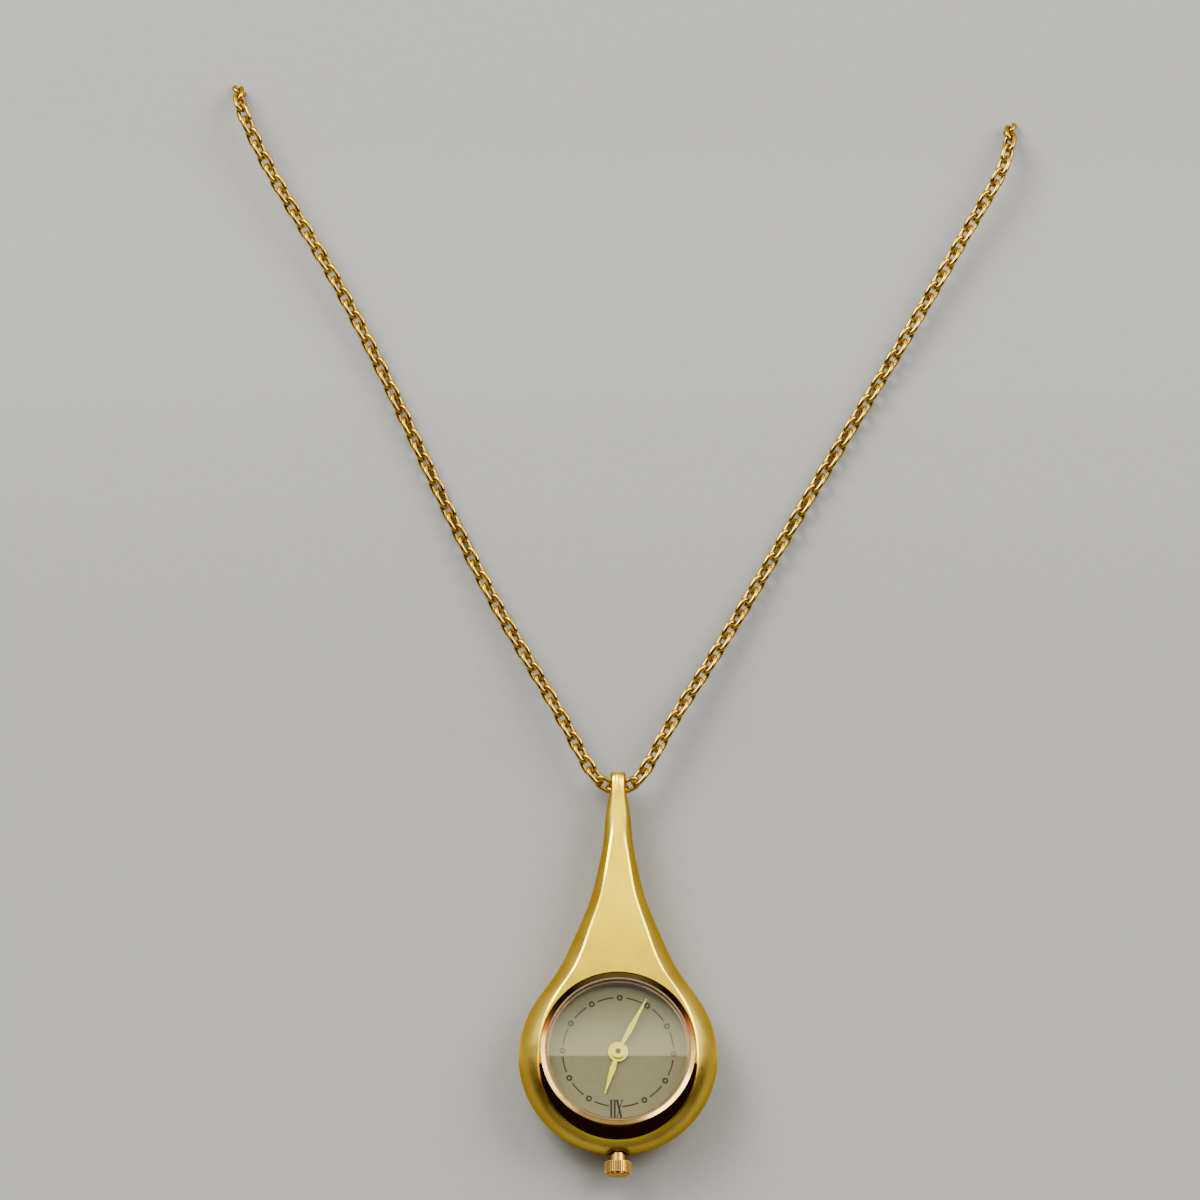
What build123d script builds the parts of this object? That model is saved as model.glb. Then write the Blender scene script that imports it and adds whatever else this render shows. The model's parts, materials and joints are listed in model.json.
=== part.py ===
from build123d import *
import os
from math import atan2, cos, degrees, hypot, radians, sin

os.makedirs("parts", exist_ok=True)

# Pendant watch: a teardrop case hung by its bail on a cable-link necklace chain.
# Millimetres. +Z is up, +X is right and the dial faces -Y.
# The origin is where the chain lies over the neck, midway between the two sides.

# Chain
chain_drop = 91.35  # neck level down to the bail hole
chain_half_width = 50.75
chain_reach = 104.0  # front of the V back to the nape
wire_diameter = 0.6
link_width = 2.15
link_pitch = 1.755
link_slack = 0.12
front_links_depth = 3.0  # links nearer the front than this count as the V

# Clasp
jump_ring_radius = 1.45
clasp_ring_radius = 2.6
clasp_tube_radius = 0.65
clasp_bore_radius = 0.42
clasp_eye_radius = 0.95
clasp_eye_wire = 0.5
latch_fit = 0.03
latch_knob_radius = 0.3
latch_knob_reach = 0.75
knob_slot_gap = 0.1
clasp_left_end = -5.5  # where the first link hooks on, left of the nape's middle
clasp_eye_weld = 0.15
clasp_gap_from = 35.0  # degrees round the ring from +X
clasp_gap_to = 75.0
latch_travel = 44.0
latch_seat = 6.0
latch_tail = 24.0
latch_knob_turn = 12.0
spring_turn = 40.0
spring_radius = 0.36
stop_turn = 6.0

# Case
bail_to_dial = 35.3
bail_radius = 2.2
bail_hole_radius = 1.45
case_wall = 3.5  # round the movement's seat, at the widest
case_drop = 0.35  # the round end's centre lies this far under the dial centre
case_middle = 0.1  # depth of the widest line round the case
case_half_depth = 4.81
case_back_depth = 4.1
back_flat_height = 8.0  # above the dial centre, where the flat back starts to curve in

# Bezel and crystal
bezel_bore_step = 0.68  # these steps go out from the movement's seat in the case
bezel_fit = 0.02
bezel_front = -4.15
bezel_seat = -2.6
bezel_lip_step = 0.45
bezel_flank = 0.55
bezel_ledge = 0.5  # under the crystal
bezel_round = 0.12
crystal_gap = 0.15  # room for the gasket
crystal_front = -4.05
crystal_thickness = 1.0
crystal_chamfer = 0.12

# Movement seat in the case
holder_wall = 1.9  # from the movement out to the case
holder_fit = 0.05
holder_lip = 0.22
holder_lip_height = 0.5
dial_ring_width = 0.4
dial_ring_taper = 0.12

# Case back
back_step = 0.65
back_fit = 0.05
back_thickness = 0.9
back_proud = 0.1
back_rim_gap = 0.08
back_rim_width = 0.3
back_rim_height = 0.5
back_edge_chamfer = 0.3
back_gasket_step = 0.12
back_gasket_width = 0.3
back_gasket_height = 0.2
pry_notch_width = 3.0
pry_notch_depth = 0.5

# Dial
dial_front = -1.7
dial_thickness = 0.3
dial_gap = 0.1
dial_hole_radius = 0.75
dial_foot_radius = 0.25
dial_foot_length = 0.6
dial_foot_reach = 6.3
dial_foot_turn = 20.0

# Hands, with the time that they show at rest
hour_hand_length = 5.83
minute_hand_length = 7.87
hand_thickness = 0.12
hour_hub_radius = 1.3
minute_hub_radius = 0.88
hour_hand_width = 0.8
minute_hand_width = 0.72
hour_angle = 17.35  # degrees clockwise from the twelve, which is at the bottom
minute_angle = 208.2
hand_root_share = 0.3
hand_belly_share = 0.42
hand_tip_share = 0.1
hour_hand_gap = 0.24
hands_gap = 0.32

# Movement plate
plate_radius = 7.6
plate_thickness = 1.2
recess_depth = 0.78
wheel_clearance = 0.2
pivot_fit = 0.02
pivot_radius = 0.12
pivot_hole_skin = 0.2  # left in front of the blind pivot holes
arbor_radius = 0.25
screw_post_radius = 0.45
screw_radius = 0.2
screw_length = 0.7
screw_head_radius = 0.4
screw_head_height = 0.18
screw_slot = 0.1

# Hour work on the dial side: teeth and tooth size
cannon_teeth = 12
minute_wheel_teeth = 36
motion_module = 0.1
minute_pinion_teeth = 10
hour_wheel_teeth = 40
setting_wheel_teeth = 14
wheel_thickness = 0.15
cannon_tube_radius = 0.37
hour_tube_radius = 0.62
hour_tube_fit = 0.03
minute_wheel_direction = -65.0
setting_wheel_direction = -80.0
tooth_backlash_share = 0.12
tooth_root_share = 1.15  # depth of the tooth's root and height of its tip, in modules
tooth_tip_share = 0.9
root_half_share = 0.75  # half-widths of a tooth at its root and tip, in tooth widths
tip_half_share = 0.3
axial_gap = 0.04

# Going train on the back side
centre_wheel_teeth = 60
third_pinion_teeth = 8
centre_module = 0.08
third_wheel_teeth = 48
rotor_pinion_teeth = 6
third_module = 0.06
third_direction = -155.0
rotor_direction = -110.0
centre_wheel_gap = 0.1
third_wheel_gap = 0.25
rotor_radius = 0.8
rotor_height = 0.4
stator_gap = 0.15
stator_ring_width = 0.35
stator_arm_width = 0.6
stator_thickness = 0.3
stator_lift = 1.0
bridge_lift = 1.65
bridge_thickness = 0.35
bridge_arm_radius = 0.8

# Power and electronics
battery_radius = 3.4
battery_height = 2.1
battery_x = 0.6
battery_z = 4.15
battery_lift = 0.55
battery_rim_step = 0.15
battery_gap = 0.15
clamp_thickness = 0.15
clamp_width = 1.6
contact_thickness = 0.1
contact_width = 1.2
coil_x = -5.7
coil_half_span = 3.8
coil_radius = 0.85
coil_half_length = 2.9
coil_flange_radius = 0.9
coil_flange_height = 0.15
coil_tube_radius = 0.52
core_half_width = 0.4
core_pad_radius = 0.6
core_thickness = 0.25
board_lift = 1.4
board_thickness = 0.25
board_edge_radius = 0.8
oscillator_radius = 0.6
oscillator_length = 5.0
oscillator_x = 5.35
oscillator_z = -0.8
chip_side = 1.6
chip_height = 0.4

# Crown, stem and setting lever
stem_depth = 0.1
stem_radius = 0.4
stem_fit = 0.06
stem_pilot_radius = 0.28
stem_tip = 2.9  # from the dial centre down to the stem's inner end
stem_thread = 0.6
stem_groove_top = 6.0
stem_groove_length = 0.4
stem_groove_radius = 0.25
clutch_teeth = 18
clutch_module = 0.08
clutch_top = 3.1
clutch_length = 0.6
crown_travel = 0.8
crown_radius = 1.74
crown_gap = 0.95  # between the case's round end and the knurled band
crown_band_height = 1.45
crown_cap_height = 0.35
crown_cap_radius = 1.3
crown_cap_round = 0.245
crown_grooves = 36
crown_groove_depth = 0.09
crown_collar_radius = 0.98
crown_collar_length = 1.3
crown_bore_radius = 0.82
crown_floor = 0.75
tube_radius = 0.62
tube_bore_radius = 0.46
tube_inset = 0.1
tube_reach = 1.55  # out of the case's round end
crown_recess_radius = 1.5
crown_recess_depth = 1.1
crown_gasket_gap = 0.05
crown_gasket_height = 0.3
crown_gasket_fit = 0.02
lever_pivot_x = 2.2
lever_pivot_z = -6.6
lever_thickness = 0.18
lever_post_radius = 0.3
lever_pin_radius = 0.13
lever_lift = 0.8
lever_arm_radius = 0.4
lever_spring_post_x = 3.6
lever_spring_post_z = -5.1

overrun = 1.0  # how far a cut runs past what it cuts

# Radii from the movement's plate outwards, and what hangs from the case's round end
holder_lip_radius = plate_radius - holder_lip
cavity_radius = plate_radius + holder_wall
case_radius = cavity_radius + case_wall
bezel_bore_radius = cavity_radius + bezel_bore_step
bezel_lip_radius = cavity_radius + bezel_lip_step
bezel_crystal_bore = cavity_radius
bezel_ledge_radius = bezel_crystal_bore - bezel_ledge
crystal_radius = bezel_crystal_bore - crystal_gap
dial_radius = cavity_radius - dial_gap
dial_ring_inner = dial_radius - dial_ring_width
back_radius = cavity_radius + back_step
back_rim_radius = cavity_radius - back_rim_gap
back_gasket_inner = cavity_radius + back_gasket_step
back_gasket_outer = back_gasket_inner + back_gasket_width
round_end = case_radius + case_drop
crown_top = round_end + crown_gap
crown_gasket_top = round_end + crown_gasket_gap
tube_inner_end = cavity_radius + tube_inset
tube_outer_end = round_end + tube_reach

dial_z = -chain_drop - bail_to_dial
hinge_z = -chain_drop


def facing(depth, x=0, z=0):
    """Sketch plane parallel to the dial, normal towards the viewer; x and z count from the dial centre."""
    return Plane(origin=(x, depth, dial_z + z), x_dir=(1, 0, 0), z_dir=(0, -1, 0))


def level(z):
    """Sketch plane across the case at a height above the dial centre."""
    return Plane(origin=(0, 0, dial_z + z), x_dir=(1, 0, 0), z_dir=(0, 0, 1))


def polar(radius, angle):
    """Point at a radius and an angle, in degrees, in the plane of the dial."""
    return (radius * cos(radians(angle)), radius * sin(radians(angle)))


def added(first, second):
    """Sum of two points in the plane of the dial."""
    return (first[0] + second[0], first[1] + second[1])


def pitch_radius(teeth, module):
    return teeth * module / 2


def mesh_phase(phase, teeth, next_teeth, direction):
    """Turn of the next gear whose gap meets a tooth of this one on the line of centres."""
    turned = (direction - phase) * teeth / next_teeth
    return direction + 180 + 180 / next_teeth + turned


def gear_points(teeth, module, phase):
    """Corners of a spur gear with straight-sided teeth: root, tip, tip, root for each tooth."""
    middle = pitch_radius(teeth, module)
    root = middle - tooth_root_share * module
    tip = middle + tooth_tip_share * module
    pitch_angle = 360 / teeth
    thick = pitch_angle * (0.5 - tooth_backlash_share)
    at_root, at_tip = thick * root_half_share, thick * tip_half_share
    points = []
    for tooth in range(teeth):
        mid_angle = phase + tooth * pitch_angle
        points.append(polar(root, mid_angle - at_root))
        points.append(polar(tip, mid_angle - at_tip))
        points.append(polar(tip, mid_angle + at_tip))
        points.append(polar(root, mid_angle + at_root))
    return points


# Depths of the movement's levels, front to back
dial_back = dial_front + dial_thickness
plate_back = dial_back + plate_thickness
recess_floor = dial_back + recess_depth
hour_wheel_front = dial_back + axial_gap
hour_wheel_back = hour_wheel_front + wheel_thickness
minute_wheel_back = recess_floor - 4 * axial_gap
minute_wheel_front = minute_wheel_back - wheel_thickness
cannon_back = recess_floor - 2 * axial_gap
cannon_front = minute_wheel_front - 2 * axial_gap
centre_wheel_front = plate_back + centre_wheel_gap
centre_wheel_back = centre_wheel_front + wheel_thickness
third_wheel_front = centre_wheel_back + third_wheel_gap
third_wheel_back = third_wheel_front + wheel_thickness
stator_front = plate_back + stator_lift
stator_back = stator_front + stator_thickness
bridge_front = plate_back + bridge_lift
bridge_back = bridge_front + bridge_thickness
battery_front = plate_back + battery_lift
battery_back = battery_front + battery_height
board_front = plate_back + board_lift
board_back = board_front + board_thickness
lever_front = plate_back + lever_lift
lever_back = lever_front + lever_thickness

# Gear centres and phases in the plane of the dial
minute_reach = pitch_radius(cannon_teeth + minute_wheel_teeth, motion_module)
minute_wheel_at = polar(minute_reach, minute_wheel_direction)
minute_pinion_module = 2 * minute_reach / (minute_pinion_teeth + hour_wheel_teeth)
setting_reach = pitch_radius(minute_wheel_teeth + setting_wheel_teeth, motion_module)
setting_wheel_at = added(minute_wheel_at, polar(setting_reach, setting_wheel_direction))
third_at = polar(pitch_radius(centre_wheel_teeth + third_pinion_teeth, centre_module), third_direction)
rotor_reach = pitch_radius(third_wheel_teeth + rotor_pinion_teeth, third_module)
rotor_at = added(third_at, polar(rotor_reach, rotor_direction))

cannon_phase = minute_wheel_direction
minute_wheel_phase = mesh_phase(cannon_phase, cannon_teeth, minute_wheel_teeth, minute_wheel_direction)
hour_wheel_phase = minute_wheel_direction
minute_pinion_phase = mesh_phase(
    hour_wheel_phase, hour_wheel_teeth, minute_pinion_teeth, minute_wheel_direction
)
setting_wheel_phase = mesh_phase(
    minute_wheel_phase, minute_wheel_teeth, setting_wheel_teeth, setting_wheel_direction
)
centre_wheel_phase = third_direction
third_pinion_phase = mesh_phase(centre_wheel_phase, centre_wheel_teeth, third_pinion_teeth, third_direction)
third_wheel_phase = rotor_direction
rotor_pinion_phase = mesh_phase(third_wheel_phase, third_wheel_teeth, rotor_pinion_teeth, rotor_direction)

# Posts of the main plate, in shares of the plate's radius
bridge_post_shares = [(-0.204, -0.605), (0.408, -0.079)]
coil_side_post_shares = (0.596, 0.474)  # of the coil's place and half-span
clamp_post_shares = [(-0.434, 0.737), (0.605, 0.645)]
board_post_shares = [(0.684, -0.566), (0.776, 0.382)]
bridge_posts = [(x * plate_radius, z * plate_radius) for x, z in bridge_post_shares]
bridge_posts.append((coil_side_post_shares[0] * coil_x, coil_side_post_shares[1] * coil_half_span))
clamp_posts = [(x * plate_radius, z * plate_radius) for x, z in clamp_post_shares]
board_posts = [(x * plate_radius, z * plate_radius) for x, z in board_post_shares]
coil_posts = [(coil_x, -coil_half_span), (coil_x, coil_half_span)]
lever_pivot = (lever_pivot_x, lever_pivot_z)
lever_spring_post = (lever_spring_post_x, lever_spring_post_z)

# Case body
# Level cuts of the case, each a flat front and back joined by an arc at either side:
# height above the round end's centre, half-width, half-depth, then the flat part's share of the half-width
neck_height = bail_to_dial + case_drop
section_shares = [
    (0.0, 1.0, 1.0, 0.63),
    (0.094, 0.966, 1.015, 0.64),
    (0.184, 0.864, 1.04, 0.65),
    (0.318, 0.612, 1.075, 0.56),
    (0.45, 0.435, 1.02, 0.5),
    (0.571, 0.296, 0.93, 0.44),
    (0.686, 0.211, 0.84, 0.4),
    (0.804, 0.15, 0.75, 0.36),
    (0.902, 0.125, 0.64, 0.3),
    (0.952, 0.104, 0.56, 0.32),
    (1.0, 0.084, 0.54, 0.36),
    (1.08, 0.078, 0.54, 0.36),
]
# Side view of the case front: depth in shares of the case's half-depth, height of the bail's height
front_shares = [(-0.728, 0.722), (-0.936, 0.283), (-0.852, 0.0), (-0.561, -0.341), (-0.489, -0.411)]
back_waist_shares = (0.6, 0.62)
case_bottom = -round_end
back_seat = case_back_depth + back_proud - back_thickness

with BuildPart() as case_body:
    for height, width, depth, flat in section_shares:
        half_width = width * case_radius
        half_flat = flat * half_width
        fore = case_middle - depth * case_half_depth
        aft = case_middle + depth * case_half_depth
        with BuildSketch(level(height * neck_height - case_drop)):
            with BuildLine():
                front = Line((-half_flat, fore), (half_flat, fore))
                right = ThreePointArc(front @ 1, (half_width, case_middle), (half_flat, aft))
                back = Line(right @ 1, (-half_flat, aft))
                ThreePointArc(back @ 1, (-half_width, case_middle), front @ 0)
            make_face()
    loft()
    flat_radius = section_shares[0][3] * case_radius
    fore = case_middle - case_half_depth
    aft = case_middle + case_half_depth
    with BuildSketch(level(-case_drop)):
        with BuildLine():
            front = Line((0, fore), (flat_radius, fore))
            side = ThreePointArc(front @ 1, (case_radius, case_middle), (flat_radius, aft))
            back = Line(side @ 1, (0, aft))
            Line(back @ 1, front @ 0)
        make_face()
    revolve(axis=Axis((0, 0, dial_z - case_drop), (0, 1, 0)), revolution_arc=180)
    # The side view trims the front to its gentle curve, the back to a flat and the top to the bail's round
    with BuildSketch(Plane.YZ.offset(-2 * case_radius)):
        with BuildLine():
            front_points = [
                (depth * case_half_depth, dial_z + height * bail_to_dial) for depth, height in front_shares
            ]
            bail_front = (-bail_radius, hinge_z)
            bail_back = (bail_radius, hinge_z)
            front = Spline(bail_front, *front_points, tangents=[(0, -1), (0.12, -1)])
            under = Line(front @ 1, (case_back_depth, (front @ 1).Y))
            flat_back = Line(under @ 1, (case_back_depth, dial_z + back_flat_height))
            waist = (back_waist_shares[0] * case_half_depth, dial_z + back_waist_shares[1] * bail_to_dial)
            Spline(flat_back @ 1, waist, bail_back, tangents=[(0, 1), (0, 1)])
            ThreePointArc(bail_back, (0, hinge_z + bail_radius), bail_front)
        make_face()
    extrude(amount=4 * case_radius, mode=Mode.INTERSECT)
    # Bail hole for the chain
    with BuildSketch(Plane.YZ.offset(-case_radius)):
        with Locations((0, hinge_z)):
            Circle(bail_hole_radius)
    extrude(amount=2 * case_radius, mode=Mode.SUBTRACT)
    # Bezel bore, movement cavity, case back seat and gasket groove
    with BuildSketch(facing(bezel_seat)):
        Circle(bezel_bore_radius)
    extrude(amount=case_half_depth, mode=Mode.SUBTRACT)
    with BuildSketch(facing(back_seat)):
        Circle(cavity_radius)
    extrude(amount=back_seat - bezel_seat, mode=Mode.SUBTRACT)
    with BuildSketch(facing(back_seat + case_half_depth)):
        Circle(back_radius + back_fit)
    extrude(amount=case_half_depth, mode=Mode.SUBTRACT)
    with BuildSketch(facing(back_seat)):
        Circle(back_gasket_outer)
        Circle(back_gasket_inner, mode=Mode.SUBTRACT)
    extrude(amount=back_gasket_height, mode=Mode.SUBTRACT)
    # Hole for the case tube, then the crown's recess
    with BuildSketch(level(case_bottom - overrun)):
        with Locations((0, stem_depth)):
            Circle(tube_radius)
    extrude(amount=case_radius - cavity_radius + 2 * overrun, mode=Mode.SUBTRACT)
    with BuildSketch(level(case_bottom - overrun)):
        with Locations((0, stem_depth)):
            Circle(crown_recess_radius)
    extrude(amount=crown_recess_depth + overrun, mode=Mode.SUBTRACT)
case_body.part.label = "case_body"
export_step(case_body.part, "parts/case_body.step")

# Bezel: a ring with a rounded lip, a sloping outer flank and a ledge under the crystal
dial_axis = Axis((0, 0, dial_z), (0, 1, 0))
crystal_back = crystal_front + crystal_thickness
bezel_radius = bezel_bore_radius - bezel_fit

with BuildPart() as bezel:
    with BuildSketch(level(0)):
        with BuildLine():
            Polyline(
                (bezel_ledge_radius, bezel_seat),
                (bezel_radius, bezel_seat),
                (bezel_radius, bezel_front + bezel_flank),
                (bezel_lip_radius, bezel_front),
                (bezel_crystal_bore, bezel_front),
                (bezel_crystal_bore, crystal_back),
                (bezel_ledge_radius, crystal_back),
                close=True,
            )
        make_face()
    revolve(axis=dial_axis)
    fillet(bezel.edges().group_by(Axis.Y)[0], bezel_round)
bezel.part.label = "bezel"
export_step(bezel.part, "parts/bezel.step")

# Crystal: a flat glass disc with a bevelled rim
with BuildPart() as crystal:
    with BuildSketch(facing(crystal_back)):
        Circle(crystal_radius)
    extrude(amount=crystal_thickness)
    chamfer(crystal.edges().group_by(Axis.Y)[0], crystal_chamfer)
crystal.part.label = "crystal"
export_step(crystal.part, "parts/crystal.step")

with BuildPart() as crystal_gasket:
    with BuildSketch(facing(crystal_back)):
        Circle(bezel_crystal_bore)
        Circle(crystal_radius, mode=Mode.SUBTRACT)
    extrude(amount=crystal_thickness - crystal_chamfer)
crystal_gasket.part.label = "crystal_gasket"
export_step(crystal_gasket.part, "parts/crystal_gasket.step")

# Ring between bezel and dial, its inner wall sloping in towards the dial
with BuildPart() as dial_ring:
    with BuildSketch(level(0)):
        with BuildLine():
            Polyline(
                (dial_ring_inner, bezel_seat),
                (cavity_radius - holder_fit, bezel_seat),
                (cavity_radius - holder_fit, dial_front),
                (dial_ring_inner - dial_ring_taper, dial_front),
                close=True,
            )
        make_face()
    revolve(axis=dial_axis)
dial_ring.part.label = "dial_ring"
export_step(dial_ring.part, "parts/dial_ring.step")

# Dial: a thin plate with two feet that locate it in the movement
dial_feet = [polar(dial_foot_reach, dial_foot_turn), polar(dial_foot_reach, dial_foot_turn + 180)]

with BuildPart() as dial:
    with BuildSketch(facing(dial_back)):
        Circle(dial_radius)
        Circle(dial_hole_radius, mode=Mode.SUBTRACT)
    extrude(amount=dial_thickness)
    with BuildSketch(facing(dial_back + dial_foot_length)):
        with Locations(*dial_feet):
            Circle(dial_foot_radius)
    extrude(amount=dial_foot_length)
dial.part.label = "dial"
export_step(dial.part, "parts/dial.step")


# Hands: a round hub with a slim dagger, widest near the middle
def make_hand(label, back, length, width, hub, hole, clockwise):
    direction = -90 - clockwise
    outline = [
        (0, hand_root_share * width / 2),
        (hand_belly_share * length, width / 2),
        (length, hand_tip_share * width / 2),
    ]
    corners = outline + [(along, -across) for along, across in reversed(outline)]
    points = [added(polar(along, direction), polar(across, direction + 90)) for along, across in corners]
    with BuildPart() as hand:
        with BuildSketch(facing(back)):
            with BuildLine():
                Polyline(*points, close=True)
            make_face()
            Circle(hub)
            Circle(hole, mode=Mode.SUBTRACT)
        extrude(amount=hand_thickness)
    hand.part.label = label
    export_step(hand.part, f"parts/{label}.step")


hour_hand_back = dial_front - hour_hand_gap
minute_hand_back = hour_hand_back - hand_thickness - hands_gap
make_hand(
    "hour_hand",
    hour_hand_back,
    hour_hand_length,
    hour_hand_width,
    hour_hub_radius,
    hour_tube_radius,
    hour_angle,
)
make_hand(
    "minute_hand",
    minute_hand_back,
    minute_hand_length,
    minute_hand_width,
    minute_hub_radius,
    cannon_tube_radius,
    minute_angle,
)


# Gears of the hour work, in front of the main plate
def add_gear(teeth, module, phase, back, thickness, at=(0, 0)):
    """Gear added to the part being built, from its back depth towards the viewer."""
    with BuildSketch(facing(back, *at)) as profile:
        with BuildLine():
            Polyline(*gear_points(teeth, module, phase), close=True)
        make_face()
    extrude(profile.sketch, amount=thickness)


def add_post(radius, back, front, at=(0, 0), mode=Mode.ADD):
    """Round post or hole between two depths, part of the part being built."""
    with BuildSketch(facing(back, *at)) as profile:
        Circle(radius)
    extrude(profile.sketch, amount=back - front, mode=mode)


hour_tube_front = hour_hand_back - hand_thickness - axial_gap
cannon_tube_front = minute_hand_back - hand_thickness - axial_gap

with BuildPart() as cannon_pinion:
    add_gear(cannon_teeth, motion_module, cannon_phase, cannon_back, cannon_back - cannon_front)
    add_post(cannon_tube_radius, cannon_back, cannon_tube_front)
    add_post(arbor_radius, cannon_back, cannon_tube_front, mode=Mode.SUBTRACT)
cannon_pinion.part.label = "cannon_pinion"
export_step(cannon_pinion.part, "parts/cannon_pinion.step")

with BuildPart() as hour_wheel:
    add_gear(
        hour_wheel_teeth, minute_pinion_module, hour_wheel_phase, hour_wheel_back, wheel_thickness
    )
    add_post(hour_tube_radius, hour_wheel_back, hour_tube_front)
    add_post(cannon_tube_radius + hour_tube_fit, hour_wheel_back, hour_tube_front, mode=Mode.SUBTRACT)
hour_wheel.part.label = "hour_wheel"
export_step(hour_wheel.part, "parts/hour_wheel.step")

minute_post_radius = minute_pinion_teeth * minute_pinion_module / 5
minute_bore_radius = minute_post_radius + pivot_fit

with BuildPart() as minute_wheel:
    add_gear(
        minute_wheel_teeth,
        motion_module,
        minute_wheel_phase,
        minute_wheel_back,
        wheel_thickness,
        minute_wheel_at,
    )
    add_gear(
        minute_pinion_teeth,
        minute_pinion_module,
        minute_pinion_phase,
        minute_wheel_front,
        minute_wheel_front - hour_wheel_front,
        minute_wheel_at,
    )
    add_post(minute_bore_radius, minute_wheel_back, hour_wheel_front, minute_wheel_at, Mode.SUBTRACT)
minute_wheel.part.label = "minute_wheel"
export_step(minute_wheel.part, "parts/minute_wheel.step")

with BuildPart() as setting_wheel:
    add_gear(
        setting_wheel_teeth,
        motion_module,
        setting_wheel_phase,
        minute_wheel_back,
        wheel_thickness,
        setting_wheel_at,
    )
    add_post(minute_bore_radius, minute_wheel_back, minute_wheel_front, setting_wheel_at, Mode.SUBTRACT)
setting_wheel.part.label = "setting_wheel"
export_step(setting_wheel.part, "parts/setting_wheel.step")

# Going train behind the main plate: centre wheel, third wheel and stepping rotor
with BuildPart() as centre_wheel:
    add_gear(centre_wheel_teeth, centre_module, centre_wheel_phase, centre_wheel_back, wheel_thickness)
    add_post(arbor_radius, bridge_front - axial_gap, cannon_tube_front + hand_thickness)
    add_post(pivot_radius, bridge_back, bridge_front - axial_gap)
centre_wheel.part.label = "centre_wheel"
export_step(centre_wheel.part, "parts/centre_wheel.step")

with BuildPart() as third_wheel:
    add_gear(
        third_pinion_teeth,
        centre_module,
        third_pinion_phase,
        third_wheel_front,
        third_wheel_front - plate_back - axial_gap,
        third_at,
    )
    add_gear(third_wheel_teeth, third_module, third_wheel_phase, third_wheel_back, wheel_thickness, third_at)
    add_post(pivot_radius, bridge_back, recess_floor, third_at)
third_wheel.part.label = "third_wheel"
export_step(third_wheel.part, "parts/third_wheel.step")

rotor_front = stator_front - (rotor_height - stator_thickness) / 2

with BuildPart() as rotor:
    add_post(rotor_radius, rotor_front + rotor_height, rotor_front, rotor_at)
    add_gear(
        rotor_pinion_teeth,
        third_module,
        rotor_pinion_phase,
        rotor_front,
        rotor_front - third_wheel_front + axial_gap,
        rotor_at,
    )
    add_post(third_module, bridge_back, recess_floor, rotor_at)
rotor.part.label = "rotor"
export_step(rotor.part, "parts/rotor.step")

# Main plate: a disc with posts on its back and a recess for the hour work in front
clutch_radius = pitch_radius(clutch_teeth, clutch_module) + clutch_module
stem_channel_radius = stem_radius + stem_fit
post_fronts = plate_back - axial_gap


def add_posts(points, back, radius):
    """Posts on the main plate, each with a blind screw hole in its end."""
    with BuildSketch(facing(back)) as profile:
        with Locations(*points):
            Circle(radius)
    extrude(profile.sketch, amount=back - post_fronts)
    with BuildSketch(facing(back)) as profile:
        with Locations(*points):
            Circle(screw_radius)
    extrude(profile.sketch, amount=screw_length, mode=Mode.SUBTRACT)


contact_post = (battery_x, battery_z + battery_radius - 2 * contact_width)
contact_front = battery_front - contact_thickness
spring_front = lever_back + axial_gap

with BuildPart() as main_plate:
    with BuildSketch(facing(plate_back)):
        Circle(plate_radius)
    extrude(amount=plate_thickness)
    with BuildSketch(facing(recess_floor)):
        Circle(pitch_radius(hour_wheel_teeth, minute_pinion_module) + 2 * wheel_clearance)
        with Locations(minute_wheel_at):
            Circle(pitch_radius(minute_wheel_teeth, motion_module) + 2 * wheel_clearance)
        with Locations(setting_wheel_at):
            Circle(pitch_radius(setting_wheel_teeth, motion_module) + 2 * wheel_clearance)
    extrude(amount=recess_depth, mode=Mode.SUBTRACT)
    add_post(minute_post_radius, recess_floor, hour_wheel_front + axial_gap, minute_wheel_at)
    add_post(minute_post_radius, recess_floor, minute_wheel_front - axial_gap, setting_wheel_at)
    add_post(minute_post_radius * 2, recess_floor, minute_wheel_back + axial_gap, minute_wheel_at)
    add_post(minute_post_radius * 2, recess_floor, minute_wheel_back + axial_gap, setting_wheel_at)
    add_posts(bridge_posts, bridge_front, screw_post_radius)
    add_posts(coil_posts, stator_front, screw_post_radius)
    add_posts(clamp_posts, battery_back, screw_post_radius)
    add_posts(board_posts, board_front, screw_post_radius)
    add_posts([lever_spring_post], spring_front, lever_post_radius)
    add_post(screw_post_radius, contact_front, post_fronts, contact_post)
    add_post(lever_post_radius, lever_back + axial_gap / 2, post_fronts, lever_pivot)
    # Bearings of the train, channel for the stem, window for the clutch and holes for the dial feet
    add_post(arbor_radius + pivot_fit, plate_back, recess_floor, mode=Mode.SUBTRACT)
    add_post(pivot_radius + pivot_fit, plate_back, dial_back + pivot_hole_skin, third_at, Mode.SUBTRACT)
    add_post(third_module + pivot_fit, plate_back, dial_back + pivot_hole_skin, rotor_at, Mode.SUBTRACT)
    with BuildSketch(level(-stem_tip + wheel_clearance)):
        with Locations((0, stem_depth)):
            Circle(stem_channel_radius)
    extrude(amount=-plate_radius, mode=Mode.SUBTRACT)
    clutch_window = clutch_length + crown_travel + 2 * wheel_clearance
    with BuildSketch(facing(plate_back, 0, wheel_clearance - clutch_top - clutch_window / 2)):
        Rectangle(2 * clutch_radius + 2 * wheel_clearance, clutch_window)
    extrude(amount=plate_back - stem_depth + clutch_radius, mode=Mode.SUBTRACT)
    with BuildSketch(facing(dial_back + dial_foot_length + axial_gap)):
        with Locations(*dial_feet):
            Circle(dial_foot_radius + pivot_fit)
    extrude(amount=dial_foot_length + axial_gap, mode=Mode.SUBTRACT)
main_plate.part.label = "main_plate"
export_step(main_plate.part, "parts/main_plate.step")

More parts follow.
